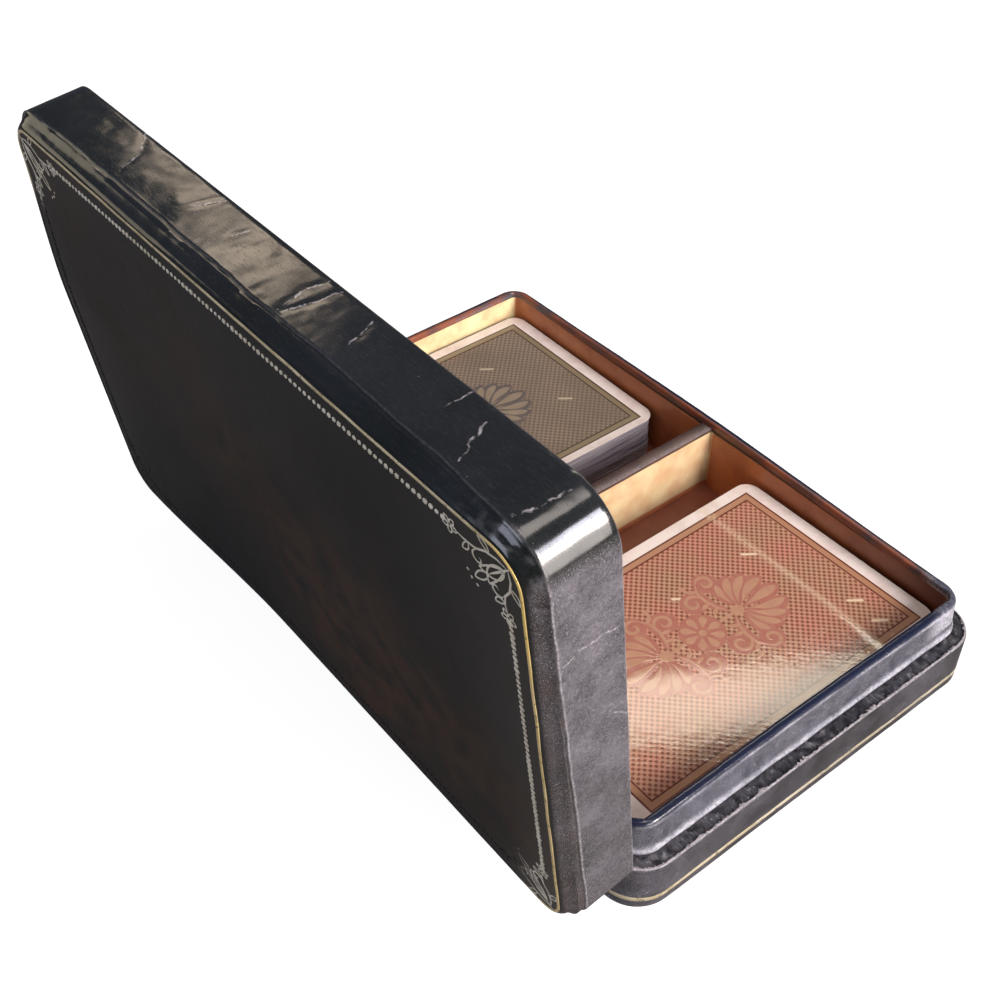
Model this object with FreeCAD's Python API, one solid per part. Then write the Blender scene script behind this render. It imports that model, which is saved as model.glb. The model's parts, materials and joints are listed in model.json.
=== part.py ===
import FreeCAD, Part
import math
import os

# Leather covered box for two decks of playing cards, with a hinged lid that fits over an inner tray.
# Millimetres. Origin at the centre of the underside, X along the box, Z up.
# The back long side is at -Y and carries the hinge. The lid is modelled standing open.

os.makedirs("parts", exist_ok=True)

# Driving sizes
box_length = 164.0
box_width = 104.5
corner_radius = 9.0
base_height = 12.8          # underside to the ledge that the lid closes on
lid_depth = 15.5            # rim to face
rim_height = 21.8           # underside to the rim of the inner tray
end_ledge = 3.8             # ledge width at the two ends
side_ledge = 3.0            # ledge width along the two long sides
lid_open_angle = 96.4       # how far the lid has turned from closed
rim_gap = 0.25              # leather to leather gap under the closed lid

# Materials' thicknesses
leather = 0.6
thin_leather = 0.5
paper = 0.3
bottom_covering = 0.6
board = 2.0
lid_wall_board = 1.3
tray_wall_board = 1.8

# Rounded edges are cut as this many flats
rounding_steps = 3
ledge_round = 0.6           # same as the covering, so the flange board under it stays square
foot_round = 0.4
skirt_lift = 0.1            # the side covering stops just above the table

# Inner tray
tray_corner = 6.0
tray_lean = 0.5             # each wall leans in this much above the ledge
foot_bead = 0.35            # ridge where the tray leather is folded at the ledge
rim_round = 1.0
inner_rim_round = 0.4
tuck_depth = 1.6            # how far the rim leather turns down inside
divider_board_width = 2.8
divider_drop = 0.6          # divider top below the rim
well_corner = 2.0
cap_bevel = 0.45

# Lid face bevel
bevel_in = 2.5
bevel_down = 2.6
rim_tuck = 4.0              # leather turned in over the lid's rim
lid_rim_round = 0.4

# Gilt lines
gilt_raise = 0.08
lid_gilt_inset = 2.7
lid_gilt_width = 0.8
base_gilt_low = 2.5
base_gilt_width = 0.7

# Hinge leather, set flush into the back covering
hinge_length = 140.0
hinge_on_base = 8.0
hinge_on_lid = 8.0

# Cards
card_length = 89.0
card_width = 58.0
card_corner = 3.8
card_thickness = 0.23
cards_per_packet = 17
packets = 3
deck_from_end = 1.2         # play between a deck and the end of its well
deck_from_front = 1.0
packet_shift = 0.35
top_card_turn = 0.25        # degrees

half_length = box_length / 2
half_width = box_width / 2
board_top = bottom_covering + board
tray_length = box_length - 2 * end_ledge
tray_width = box_width - 2 * side_ledge
tray_wall = thin_leather + tray_wall_board + paper
well_width = tray_width - 2 * tray_wall
wells_length = tray_length - 2 * tray_wall
floor_top = board_top + paper
lining_top = rim_height - tuck_depth
lid_floor = base_height + rim_gap
lid_wall = leather + lid_wall_board + paper
hinge_axis = FreeCAD.Vector(0, -half_width, base_height)


def outline(length, width, radius, z):
    """Closed wire of a rectangle with round corners, centred on the origin."""
    x = length / 2
    y = width / 2
    edges = []
    corners = ((x - radius, y - radius, 0), (radius - x, y - radius, 90),
               (radius - x, radius - y, 180), (x - radius, radius - y, 270))
    last = None
    for cx, cy, start in corners:
        points = []
        for angle in (start, start + 45, start + 90):
            turn = math.radians(angle)
            points.append(FreeCAD.Vector(cx + radius * math.cos(turn), cy + radius * math.sin(turn), z))
        if last is None:
            first = points[0]
        else:
            edges.append(Part.LineSegment(last, points[0]).toShape())
        edges.append(Part.Arc(*points).toShape())
        last = points[2]
    edges.append(Part.LineSegment(last, first).toShape())
    return Part.Wire(edges)


def prism(length, width, radius, low, high):
    """Rounded plate between two heights."""
    face = Part.Face(outline(length, width, radius, low))
    return face.extrude(FreeCAD.Vector(0, 0, high - low))


def inset_prism(inset, low, high, length=box_length, width=box_width, radius=corner_radius):
    """The same outline drawn in by an inset on every side."""
    return prism(length - 2 * inset, width - 2 * inset, radius - inset, low, high)


def stack(levels, length=box_length, width=box_width, radius=corner_radius):
    """Solid through a list of (inset, height) levels, each a drawn-in copy of one outline."""
    wires = []
    for inset, height in levels:
        wires.append(outline(length - 2 * inset, width - 2 * inset, radius - inset, height))
    return Part.makeLoft(wires, True, True)


def rolled(inset, height, radius, upward=True):
    """Levels of a rounded edge that ends at a height, for a wall that stands at an inset."""
    levels = []
    for step in range(rounding_steps + 1):
        angle = math.radians(90 * step / rounding_steps)
        drawn = inset + radius * (1 - math.cos(angle))
        fall = radius * (1 - math.sin(angle))
        levels.append((drawn, height - fall if upward else height + fall))
    return levels if upward else levels[::-1]


def block(x0, x1, y0, y1, z0, z1):
    """Plain box between two corners."""
    return Part.makeBox(x1 - x0, y1 - y0, z1 - z0, FreeCAD.Vector(x0, y0, z0))


def round_upright(shape, x, radius):
    """Round the upright edges of a box that stand at one x."""
    edges = []
    for edge in shape.Edges:
        box = edge.BoundBox
        if abs(box.XMin - x) < 1e-4 and abs(box.XMax - x) < 1e-4 and box.YLength < 1e-4:
            edges.append(edge)
    return shape.makeFillet(radius, edges)


def split_frame(ring, radius):
    """Cut a wall ring into four straight walls and four rounded corner blocks."""
    x = half_length - radius
    y = half_width - radius
    far = box_length
    pieces = {
        "wall_front": ring.common(block(-x, x, 0, far, -far, far)),
        "wall_back": ring.common(block(-x, x, -far, 0, -far, far)),
        "wall_left": ring.common(block(-far, 0, -y, y, -far, far)),
        "wall_right": ring.common(block(0, far, -y, y, -far, far)),
    }
    for name, sx, sy in (("front_left", -1, 1), ("front_right", 1, 1),
                         ("back_left", -1, -1), ("back_right", 1, -1)):
        xs = sorted((sx * x, sx * far))
        ys = sorted((sy * y, sy * far))
        pieces["corner_" + name] = ring.common(block(xs[0], xs[1], ys[0], ys[1], -far, far))
    return pieces


def mitre_region(length, width, side):
    """Trapezium prism that holds one wall of a frame mitred at 45 degrees."""
    x = length / 2
    y = width / 2
    out = 5.0
    reach = 20.0
    front = [(-x - out, y + out), (x + out, y + out), (x - reach, y - reach), (reach - x, y - reach)]
    right = [(x + out, y + out), (x + out, -y - out), (x - reach, reach - y), (x - reach, y - reach)]
    flips = {"front": (front, 1, 1), "back": (front, 1, -1), "right": (right, 1, 1), "left": (right, -1, 1)}
    points, fx, fy = flips[side]
    corners = [FreeCAD.Vector(fx * px, fy * py, 0) for px, py in points]
    corners.append(corners[0])
    return Part.Face(Part.makePolygon(corners)).extrude(FreeCAD.Vector(0, 0, 2 * rim_height))


def make_base():
    """Bottom board, flange frame, their covering and the gilt line."""
    parts = {}
    skirt = stack(rolled(0, skirt_lift, foot_round, False) + rolled(0, base_height, ledge_round))
    core = inset_prism(leather, -1, base_height - leather)
    tray_hole = prism(tray_length, tray_width, tray_corner, -2, rim_height)
    parts["base_leather"] = skirt.cut(core).cut(tray_hole)
    parts["underside_covering"] = inset_prism(leather, 0, bottom_covering)
    parts["base_board"] = inset_prism(leather, bottom_covering, board_top)
    flange = core.cut(tray_hole).common(block(-box_length, box_length, -box_width, box_width,
                                              board_top, base_height))
    for name, piece in split_frame(flange, corner_radius).items():
        parts["base_" + name] = piece
    line_high = base_gilt_low + base_gilt_width
    line = prism(box_length + 2 * gilt_raise, box_width + 2 * gilt_raise, corner_radius + gilt_raise,
                 base_gilt_low, line_high)
    parts["base_gilt_line"] = line.cut(prism(box_length, box_width, corner_radius, 0, base_height))
    return parts


def leaning_block(inset, top, rounding, bead=0.0):
    """Solid of the tray's outer form, drawn in by an inset, upright to the ledge and leaning above it."""
    levels = [(inset, board_top), (inset, base_height)]
    if bead:
        levels += [(inset - bead, base_height + bead), (inset - bead, base_height + 3 * bead),
                   (inset, base_height + 4.5 * bead)]
    levels += rolled(inset + tray_lean, top, rounding)
    return stack(levels, tray_length, tray_width, tray_corner)


def make_tray():
    """Mitred inner tray, divider, rim leather and the papers that line the wells."""
    parts = {}
    outer = leaning_block(0, rim_height, rim_round, foot_bead)
    carcass = leaning_block(thin_leather, rim_height - thin_leather, rim_round / 2)
    board_hole = prism(wells_length + 2 * paper, well_width + 2 * paper, well_corner + paper, 0, 2 * rim_height)
    flare = [(0, -1)] + [(-drawn, height) for drawn, height in rolled(0, rim_height, inner_rim_round)]
    flare.append((-inner_rim_round, 2 * rim_height))
    well_hole = stack(flare, wells_length, well_width, well_corner)
    turned_in = prism(wells_length + 2 * paper, well_width + 2 * paper, well_corner + paper,
                      lining_top, rim_height - thin_leather)
    skin = outer.cut(carcass).fuse(turned_in).cut(well_hole)
    parts["tray_leather"] = skin.removeSplitter()
    ring = carcass.cut(board_hole)
    for side in ("front", "back", "left", "right"):
        parts["tray_wall_" + side] = ring.common(mitre_region(tray_length, tray_width, side))

    divider_top = rim_height - divider_drop
    half_board = divider_board_width / 2
    half_cap = half_board + paper
    reach = well_width / 2
    parts["divider_board"] = block(-half_board, half_board, -reach - paper, reach + paper,
                                   board_top, divider_top - thin_leather)
    section = [(-half_cap, lining_top), (half_cap, lining_top), (half_cap, divider_top - cap_bevel),
               (half_cap - cap_bevel, divider_top), (cap_bevel - half_cap, divider_top),
               (-half_cap, divider_top - cap_bevel), (-half_cap, lining_top)]
    profile = Part.makePolygon([FreeCAD.Vector(x, -reach, z) for x, z in section])
    cap = Part.Face(profile).extrude(FreeCAD.Vector(0, 2 * reach, 0))
    parts["divider_leather"] = cap.cut(parts["divider_board"])
    parts["divider_board"] = parts["divider_board"].cut(parts["tray_leather"])

    end = wells_length / 2
    for side, name in ((-1, "left"), (1, "right")):
        shell = block(*sorted((side * half_board, side * (end + paper))), -reach - paper, reach + paper,
                      board_top, lining_top)
        shell = round_upright(shell, side * (end + paper), well_corner + paper)
        hollow = block(*sorted((side * half_cap, side * end)), -reach, reach, floor_top, rim_height)
        hollow = round_upright(hollow, side * end, well_corner)
        sheet = block(-box_length, box_length, -box_width, box_width, board_top, floor_top)
        parts["floor_paper_" + name] = shell.common(sheet)
        parts["wall_paper_" + name] = shell.cut(sheet).cut(hollow)
    return parts


def make_lid():
    """Every piece of the lid in its closed place."""
    parts = {}
    rim = lid_floor
    face = rim + lid_depth
    shoulder = face - bevel_down
    outer = stack(rolled(0, rim, lid_rim_round, False) + [(0, shoulder), (bevel_in, face)])

    # The covering has one thickness all over, so the carcass bevel is the outer one moved square to itself
    slope = math.hypot(bevel_in, bevel_down)
    shift_in = leather * bevel_down / slope
    shift_down = leather * bevel_in / slope
    core_shoulder = shoulder - shift_down + (leather - shift_in) * bevel_down / bevel_in
    core_face = face - leather
    core_inset = shift_in + (core_face - shoulder + shift_down) * bevel_in / bevel_down
    core = stack([(leather, rim + thin_leather), (leather, core_shoulder), (core_inset, core_face)])

    void_top = face - leather - board
    inside = lid_wall - paper
    skin = outer.cut(core).cut(inset_prism(lid_wall, rim - 1, void_top))
    turned_in = inset_prism(inside, rim + thin_leather, rim + rim_tuck)
    turned_in = turned_in.cut(inset_prism(lid_wall, rim, rim + rim_tuck))
    parts["lid_leather"] = skin.fuse(turned_in).removeSplitter()

    parts["lid_board"] = core.common(block(-box_length, box_length, -box_width, box_width, void_top, face))
    frame = core.cut(inset_prism(inside, rim, face))
    frame = frame.common(block(-box_length, box_length, -box_width, box_width, rim, void_top))
    for name, piece in split_frame(frame, corner_radius).items():
        parts["lid_" + name] = piece

    parts["lid_ceiling_paper"] = inset_prism(inside, void_top - paper, void_top)
    band = inset_prism(inside, rim + rim_tuck, void_top - paper)
    parts["lid_wall_paper"] = band.cut(inset_prism(lid_wall, rim, face))

    gilt = inset_prism(lid_gilt_inset, face, face + gilt_raise)
    parts["lid_gilt_line"] = gilt.cut(inset_prism(lid_gilt_inset + lid_gilt_width, face - 1, face + 1))
    return parts


def make_hinge(base, lid):
    """The back covering crosses the joint as one strip; each half is cut flush from its own covering."""
    x = hinge_length / 2
    low = base_height - hinge_on_base
    on_base = block(-x, x, -half_width - 1, -half_width + side_ledge, low, base_height + 1)
    base_half = base["base_leather"].common(on_base)
    base["base_leather"] = base["base_leather"].cut(on_base)
    on_lid = block(-x, x, -half_width - 1, -half_width + lid_wall / 2, lid_floor - 1, lid_floor + hinge_on_lid)
    lid_half = lid["lid_leather"].common(on_lid)
    lid["lid_leather"] = lid["lid_leather"].cut(on_lid)
    return base_half, lid_half


def make_deck(side):
    """Three packets and the top card, lying at the outer end of one well."""
    centre_x = side * (wells_length / 2 - deck_from_end - card_width / 2)
    centre_y = well_width / 2 - deck_from_front - card_length / 2
    packet_height = cards_per_packet * card_thickness
    shifts = ((0.0, 0.0), (-side * packet_shift, -packet_shift), (side * packet_shift / 2, packet_shift / 2))
    solids = []
    height = floor_top
    for dx, dy in shifts[:packets]:
        packet = prism(card_width, card_length, card_corner, height, height + packet_height)
        packet.translate(FreeCAD.Vector(centre_x + dx, centre_y + dy, 0))
        solids.append(packet)
        height += packet_height
    top = prism(card_width, card_length, card_corner, height, height + card_thickness)
    top.rotate(FreeCAD.Vector(0, 0, 0), FreeCAD.Vector(0, 0, 1), side * top_card_turn)
    top.translate(FreeCAD.Vector(centre_x, centre_y, 0))
    return Part.makeCompound(solids), top


base_parts = make_base()
tray_parts = make_tray()
lid_parts = make_lid()
hinge_base, hinge_lid = make_hinge(base_parts, lid_parts)
lid_parts["hinge_leather_lid"] = hinge_lid
for piece in lid_parts.values():
    piece.rotate(hinge_axis, FreeCAD.Vector(1, 0, 0), lid_open_angle)

nodes = dict(base_parts)
nodes.update(tray_parts)
nodes.update(lid_parts)
nodes["hinge_leather_base"] = hinge_base
for side, name in ((-1, "left"), (1, "right")):
    nodes["deck_" + name], nodes["top_card_" + name] = make_deck(side)

facets = 0
for name, shape in nodes.items():
    shape.exportStep("parts/" + name + ".step")
    facets += len(shape.tessellate(0.1)[1])
    print(name, "solids", len(shape.Solids), "valid", shape.isValid(), "volume", round(shape.Volume, 1))
print("nodes", len(nodes), "facets", facets)
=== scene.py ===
import bmesh
import bpy
import json
import math
import numpy as np
from mathutils import Matrix, Vector, noise


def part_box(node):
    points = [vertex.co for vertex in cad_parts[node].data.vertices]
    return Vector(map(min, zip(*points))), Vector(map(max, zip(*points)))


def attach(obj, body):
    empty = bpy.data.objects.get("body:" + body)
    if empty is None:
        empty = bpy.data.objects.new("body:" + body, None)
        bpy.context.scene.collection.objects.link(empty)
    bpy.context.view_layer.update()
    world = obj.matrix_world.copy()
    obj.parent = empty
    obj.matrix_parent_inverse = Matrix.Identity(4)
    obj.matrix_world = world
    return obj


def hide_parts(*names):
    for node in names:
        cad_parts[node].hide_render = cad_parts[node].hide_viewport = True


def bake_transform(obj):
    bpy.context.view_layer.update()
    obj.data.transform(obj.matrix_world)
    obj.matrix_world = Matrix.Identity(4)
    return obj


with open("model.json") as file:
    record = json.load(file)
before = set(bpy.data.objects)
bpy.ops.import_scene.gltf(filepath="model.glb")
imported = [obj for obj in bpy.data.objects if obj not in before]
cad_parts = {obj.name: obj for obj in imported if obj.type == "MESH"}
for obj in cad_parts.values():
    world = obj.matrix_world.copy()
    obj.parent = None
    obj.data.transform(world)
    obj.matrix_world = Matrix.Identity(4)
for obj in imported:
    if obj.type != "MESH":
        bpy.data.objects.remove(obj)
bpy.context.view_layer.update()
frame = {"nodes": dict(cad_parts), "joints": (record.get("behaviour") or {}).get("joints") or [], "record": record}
mm = 0.001
# Points nearer than this many metres are one, and a fold sharper than this many degrees is an edge
sameSpot, sharpFold = 1e-7, 35
print("frame loaded,", len(frame["nodes"]), "parts")

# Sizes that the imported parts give, in millimetres
hingeJoint = next(joint for joint in frame["joints"] if joint["name"] == "lid_hinge")
hingePoint = Vector(hingeJoint["pos_m"]) / mm
openAngle = math.radians(hingeJoint["range_deg"][1])
footBead = 0.35
baseSize = (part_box("base_leather")[1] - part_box("base_leather")[0]) / mm
traySize = (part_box("tray_leather")[1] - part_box("tray_leather")[0]) / mm - Vector((2, 2, 0)) * footBead
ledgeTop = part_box("base_leather")[1].z / mm
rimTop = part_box("tray_leather")[1].z / mm
halfLong, halfWide = baseSize.x / 2, baseSize.y / 2
caseCorner, trayCorner = 9.0, 6.0

# The lid's pieces are made on the shut box, and this opens them
openLid = (Matrix.Translation(hingePoint * mm) @ Matrix.Rotation(openAngle, 4, "X")
           @ Matrix.Translation(-hingePoint * mm))


def wave(points, size, seed=0.0):
    # Smooth lumps from -1 to 1, about size wide
    return np.array([noise.noise(Vector((p[0] / size + seed, p[1] / size, p[2] / size))) for p in points])


def fade(values, start, end):
    # 0 before start, 1 past end, smooth between
    t = np.clip((np.asarray(values, float) - start) / (end - start), 0, 1)
    return t * t * (3 - 2 * t)


def bell(values, middle, width):
    # 1 at the middle, falling off to either side
    return np.exp(-((values - middle) / width) ** 2)


def blob(x, y, middleX, middleY, width):
    # 1 at the middle, falling off all round
    return np.exp(-(((x - middleX) / width) ** 2 + ((y - middleY) / width) ** 2))


def arch(values, reach):
    # 1 at the middle, 0 from reach outwards
    return np.cos(np.clip(values / reach, -1, 1) * math.pi / 2)


def roundedRing(length, width, radius, counts):
    # Rows of x, y and the outward direction, anticlockwise from the middle of the right end's front corner
    x, y = length / 2 - radius, width / 2 - radius
    corners = ((x, y, 0), (-x, y, 90), (-x, -y, 180), (x, -y, 270))
    rows = []
    for index, (cx, cy, start) in enumerate(corners):
        for step in range(counts[2] + 1):
            angle = math.radians(start + 90 * step / counts[2])
            away = (math.cos(angle), math.sin(angle))
            rows.append((cx + radius * away[0], cy + radius * away[1], *away))
        here = rows[-1]
        turn = math.radians(start + 90)
        nextX, nextY = corners[(index + 1) % 4][:2]
        goal = (nextX + radius * math.cos(turn), nextY + radius * math.sin(turn))
        for step in range(1, counts[index % 2]):
            t = step / counts[index % 2]
            rows.append((here[0] + (goal[0] - here[0]) * t, here[1] + (goal[1] - here[1]) * t, *here[2:]))
    return np.array(rows)


def level(ring, inset, height):
    # The ring drawn in by an inset, at a height; either may differ from point to point
    inset = np.broadcast_to(inset, len(ring))
    height = np.broadcast_to(height, len(ring))
    return np.column_stack((ring[:, 0] - ring[:, 2] * inset, ring[:, 1] - ring[:, 3] * inset, height))


def levels(ring, rows, base=0.0):
    # The ring at each inset and height of the rows, heights taken from a base
    return [level(ring, inset, base + height) for inset, height in rows]


def wobble(ring, size, amount, seed=0.0):
    # A slow change along the ring
    flat = np.column_stack((ring[:, 0], ring[:, 1], np.zeros(len(ring))))
    return amount * wave(flat, size, seed)


def loft(loops, closed=False):
    # Points and quads through equal loops; closed joins the last loop to the first
    count = len(loops[0])
    faces = []
    for row in range(len(loops) if closed else len(loops) - 1):
        a, b = row * count, (row + 1) % len(loops) * count
        faces += [(a + i, a + (i + 1) % count, b + (i + 1) % count, b + i) for i in range(count)]
    return np.concatenate(loops), faces


def addObject(name, data):
    thing = bpy.data.objects.new(name, data)
    bpy.context.scene.collection.objects.link(thing)
    return thing


def addMesh(name, points, edges, faces):
    # An object from a mesh in millimetres, as it is
    mesh = bpy.data.meshes.new(name)
    mesh.from_pydata([tuple(p) for p in np.asarray(points) * mm], edges, faces)
    return addObject(name, mesh)


def makeMesh(name, points, faces, fields=None):
    # A piece in millimetres, doubles merged and faces outwards
    piece = addMesh(name, points, [], faces)
    for field, values in (fields or {}).items():
        setField(piece, field, values)
    shape = bmesh.new()
    shape.from_mesh(piece.data)
    bmesh.ops.remove_doubles(shape, verts=shape.verts, dist=sameSpot)
    bmesh.ops.recalc_face_normals(shape, faces=shape.faces)
    shape.to_mesh(piece.data)
    shape.free()
    return piece


def meshPoints(piece):
    flat = np.zeros(len(piece.data.vertices) * 3, np.float32)
    piece.data.vertices.foreach_get("co", flat)
    return flat.reshape(-1, 3) / mm


def movePoints(piece, points):
    piece.data.vertices.foreach_set("co", (points * mm).astype(np.float32).ravel())


def emboss(piece, amount):
    # Move each point along its normal by amount(points) millimetres
    normals = np.array([v.normal[:] for v in piece.data.vertices])
    points = meshPoints(piece)
    movePoints(piece, points + normals * amount(points)[:, None])
    piece.data.update()


def setField(piece, field, values):
    attribute = piece.data.attributes.new(field, "FLOAT", "POINT")
    attribute.data.foreach_set("value", np.asarray(values, np.float32))


def applyModifiers(piece):
    graph = bpy.context.evaluated_depsgraph_get()
    made = bpy.data.meshes.new_from_object(piece.evaluated_get(graph))
    piece.modifiers.clear()
    piece.data = made
    made.name = piece.name


def thicken(piece, thickness):
    wall = piece.modifiers.new("wall", "SOLIDIFY")
    wall.thickness = thickness * mm
    wall.offset = -1
    applyModifiers(piece)


def finishPiece(piece, body, slotName, material, *nodes, place=None):
    # Material, shading, place, body and the parts it stands for; the slot name is not used
    if place:
        piece.data.transform(place)
    piece.data.materials.clear()
    piece.data.materials.append(material)
    piece.data.polygons.foreach_set("use_smooth", [True] * len(piece.data.polygons))
    piece.data.set_sharp_from_angle(angle=math.radians(sharpFold))
    if body:
        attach(piece, body)
    if nodes:
        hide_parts(*nodes)
    print(" ", piece.name, len(piece.data.polygons), "faces")


def creaseDepth(points, creases, depth, width):
    # How deep each point lies in a set of creases, each a path of points
    total = np.zeros(len(points))
    for path in creases:
        path = np.array(path, float)
        nearest = np.full(len(points), 1e9)
        for a, b in zip(path[:-1], path[1:]):
            run = b - a
            t = np.clip(((points - a) @ run) / (run @ run), 0, 1)
            nearest = np.minimum(nearest, np.linalg.norm(points - (a + t[:, None] * run), axis=1))
        total += depth * bell(nearest, 0, width)
    return total


# Materials
def linear(code):
    channels = [int(code[i:i + 2], 16) / 255 for i in (1, 3, 5)]
    return (*[c / 12.92 if c <= 0.04045 else ((c + 0.055) / 1.055) ** 2.4 for c in channels], 1.0)


def plug(node, inputs):
    # Fills inputs, by name or place, with values, sRGB codes, sockets or nodes
    for key, value in inputs.items():
        socket = node.inputs[key] if isinstance(key, int) else next(
            s for s in node.inputs if s.enabled and key in (s.name, s.identifier))
        if isinstance(value, str):
            value = linear(value)
        if isinstance(value, bpy.types.Node):
            value = next(s for s in value.outputs if s.enabled)
        if isinstance(value, bpy.types.NodeSocket):
            node.id_data.links.new(value, socket)
        else:
            socket.default_value = value
    return node


class Nodes:
    # Short calls that add to one node tree; grid is the place in millimetres
    def __init__(self, tree):
        self.tree = tree

    def add(self, kind, inputs=None, **settings):
        node = self.tree.nodes.new(kind)
        for key, value in settings.items():
            setattr(node, key, value)
        return plug(node, inputs or {})

    def calc(self, operation, *values, clamp=False):
        return self.add("ShaderNodeMath", dict(enumerate(values)), operation=operation, use_clamp=clamp)

    def times(self, a, b, clamp=False):
        return self.calc("MULTIPLY", a, b, clamp=clamp)

    def vector(self, operation, *values, **named):
        return self.add("ShaderNodeVectorMath", {**dict(enumerate(values)), **named}, operation=operation)

    def mix(self, factor, a, b):
        return self.add("ShaderNodeMix", {"Factor": factor, "A": a, "B": b}, data_type="RGBA")

    def ramp(self, value, low, high, to=(0.0, 1.0)):
        return self.add("ShaderNodeMapRange", {"Value": value, "From Min": low, "From Max": high,
                                               "To Min": to[0], "To Max": to[1]}, clamp=True)

    def field(self, name):
        return self.add("ShaderNodeAttribute", attribute_name=name).outputs["Fac"]

    def place(self):
        self.grid = self.vector("MULTIPLY", self.add("ShaderNodeTexCoord").outputs["Object"],
                                (1000, 1000, 1000))
        return self.grid

    def map(self, vector, **values):
        return self.add("ShaderNodeMapping", {"Vector": vector, **values})

    def noise(self, vector, scale, detail):
        return self.add("ShaderNodeTexNoise", {"Vector": vector, "Scale": scale, "Detail": detail})

    def speckle(self, size, detail=4.0, rough=0.6, offset=0.0):
        place = self.vector("ADD", self.grid, (offset, offset, offset))
        return plug(self.noise(place, 1 / size, detail), {"Roughness": rough})

    def bump(self, height, distance, normal=None):
        node = self.add("ShaderNodeBump", {"Height": height, "Strength": 1.0, "Distance": distance * mm})
        return plug(node, {"Normal": normal} if normal else {})


def startTree(block):
    block.use_nodes = True
    block.node_tree.nodes.clear()
    return Nodes(block.node_tree)


def startMaterial(name):
    material = bpy.data.materials.new(name)
    n = startTree(material)
    shader = n.add("ShaderNodeBsdfPrincipled")
    n.add("ShaderNodeOutputMaterial", {"Surface": shader})
    n.place()
    return material, n, shader


def leather(name, look):
    # Calf over board, dyed black, glazed with a hot iron and long handled. The mesh gives dust, 1 where the
    # glaze has worn off and the dye shows grey and dry, wear where the fibre is bare and, on the tray, painted
    # highlights, shade for painted shade and painted dark reflection, and brown where the dye has gone back to
    # the tan underneath, with a painted brown reflection on the lid's panel
    material, n, shader = startMaterial(name)
    dust, wear, shade, brown = map(n.field, ("dust", "wear", "shade", "brown"))
    colour = n.mix(n.ramp(n.speckle(look["cloud"]), 0.36, 0.66), look["dark"], look["light"])
    tanned = n.times(brown, n.ramp(n.speckle(7.0, 5.0, 0.6, 23.0), 0.3, 0.6), clamp=True)
    colour = n.mix(tanned, colour, look["tan"])
    # Dry bloom: soft patches, broken into marks about half a millimetre long
    patch = n.ramp(n.speckle(look["patch"], 5.0, 0.65, 7.0), 0.30, 0.62, (look["faint"], 1.0))
    marks = n.ramp(n.speckle(0.55, 6.0, 0.8, 3.0), 0.47, 0.66, (0.55, 1.1))
    dry = n.times(n.times(patch, marks), dust, clamp=True)
    colour = n.mix(dry, colour, look["dryColour"])
    # Fine scratches in three directions
    lines = None
    for turn, seed in ((0.6, 0.0), (2.2, 31.0), (1.5, 57.0)):
        slid = n.map(n.grid, Location=(seed, seed, seed), Rotation=(turn, 0.7 * turn, turn), Scale=(0.4, 5.5, 5.5))
        hair = n.ramp(n.noise(slid, 1.0, 1.0), 0.66, 0.72)
        lines = hair if lines is None else n.calc("MAXIMUM", lines, hair)
    felt = n.ramp(dust, 0.07, 0.38, (look["scratch"] * 0.04, look["scratch"]))
    colour = n.mix(n.times(lines, felt), colour, look["fibre"])
    # Worn edges and creases
    worn = n.times(wear, n.ramp(n.speckle(0.7, 6.0, 0.75, 11.0), 0.30, 0.62), clamp=True)
    colour = n.mix(worn, colour, look["fibre"])
    # Specks of dust and flaked glaze, one to each cell of a loose net
    cell = n.add("ShaderNodeTexVoronoi", {"Vector": n.grid, "Scale": 1 / look["speckGap"]})
    specks = n.times(n.ramp(cell, look["speckSize"], 0.45 * look["speckSize"]),
                     n.ramp(dust, 0.02, 0.16, (0.1, 0.6)))
    # Painted shade and painted dark reflection, in the shade colour, where the mesh gives shade
    colour = n.mix(shade, n.mix(specks, colour, look["speck"]), look["shadeColour"])

    rough = n.ramp(n.calc("MAXIMUM", dry, worn), 0.0, 1.0, (look["rough"], look["dryRough"]))
    lift = n.ramp(n.speckle(9.0, 3.0, 0.6, 19.0), 0.35, 0.65, (0.0, look["roughSpread"]))
    rough = n.times(n.calc("ADD", rough, lift), n.ramp(shade, 0.0, 1.0, (1.0, 0.5)))

    # Pores at a third of a millimetre, then the scratches, soft puckers at four and the frayed fibre
    pores = n.add("ShaderNodeTexVoronoi", {"Vector": n.grid, "Scale": 2.6, "Randomness": 1.0})
    cracks = n.bump(lines, look["score"], n.bump(pores, look["pores"]))
    cracks.invert = True
    pucker = n.bump(n.speckle(4.0, 1.0, 0.4, 5.0), look["pucker"], cracks)
    plug(shader, {"Base Color": colour, "Roughness": rough, "IOR": 1.5, "Specular IOR Level": look["specular"],
                  "Normal": n.bump(worn, 0.03, pucker)})
    return material


lidLook = {"dark": "#111514", "light": "#1b1f23", "tan": "#432f21", "cloud": 30.0, "patch": 7.0, "faint": 0.35,
           "dryColour": "#74727b", "scratch": 0.5, "fibre": "#b1adb3", "speckGap": 3.4, "speck": "#b3b9c0",
           "shadeColour": "#0b0a0b", "rough": 0.09, "dryRough": 0.5, "roughSpread": 0.05, "specular": 0.5,
           "pores": 0.0004, "pucker": 0.06, "score": 0.0014, "speckSize": 0.045}
baseLook = dict(lidLook, dark="#1d1e23", light="#2b2c33", dryColour="#6e6f79", rough=0.28, cloud=12.0,
                patch=4.0, faint=0.2, shadeColour="#1b191e", pucker=0.05, speckGap=2.4, speckSize=0.085, score=0.004)
lidLeather = leather("glazed_black_calf", lidLook)
baseLeather = leather("rubbed_black_calf", baseLook)
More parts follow.
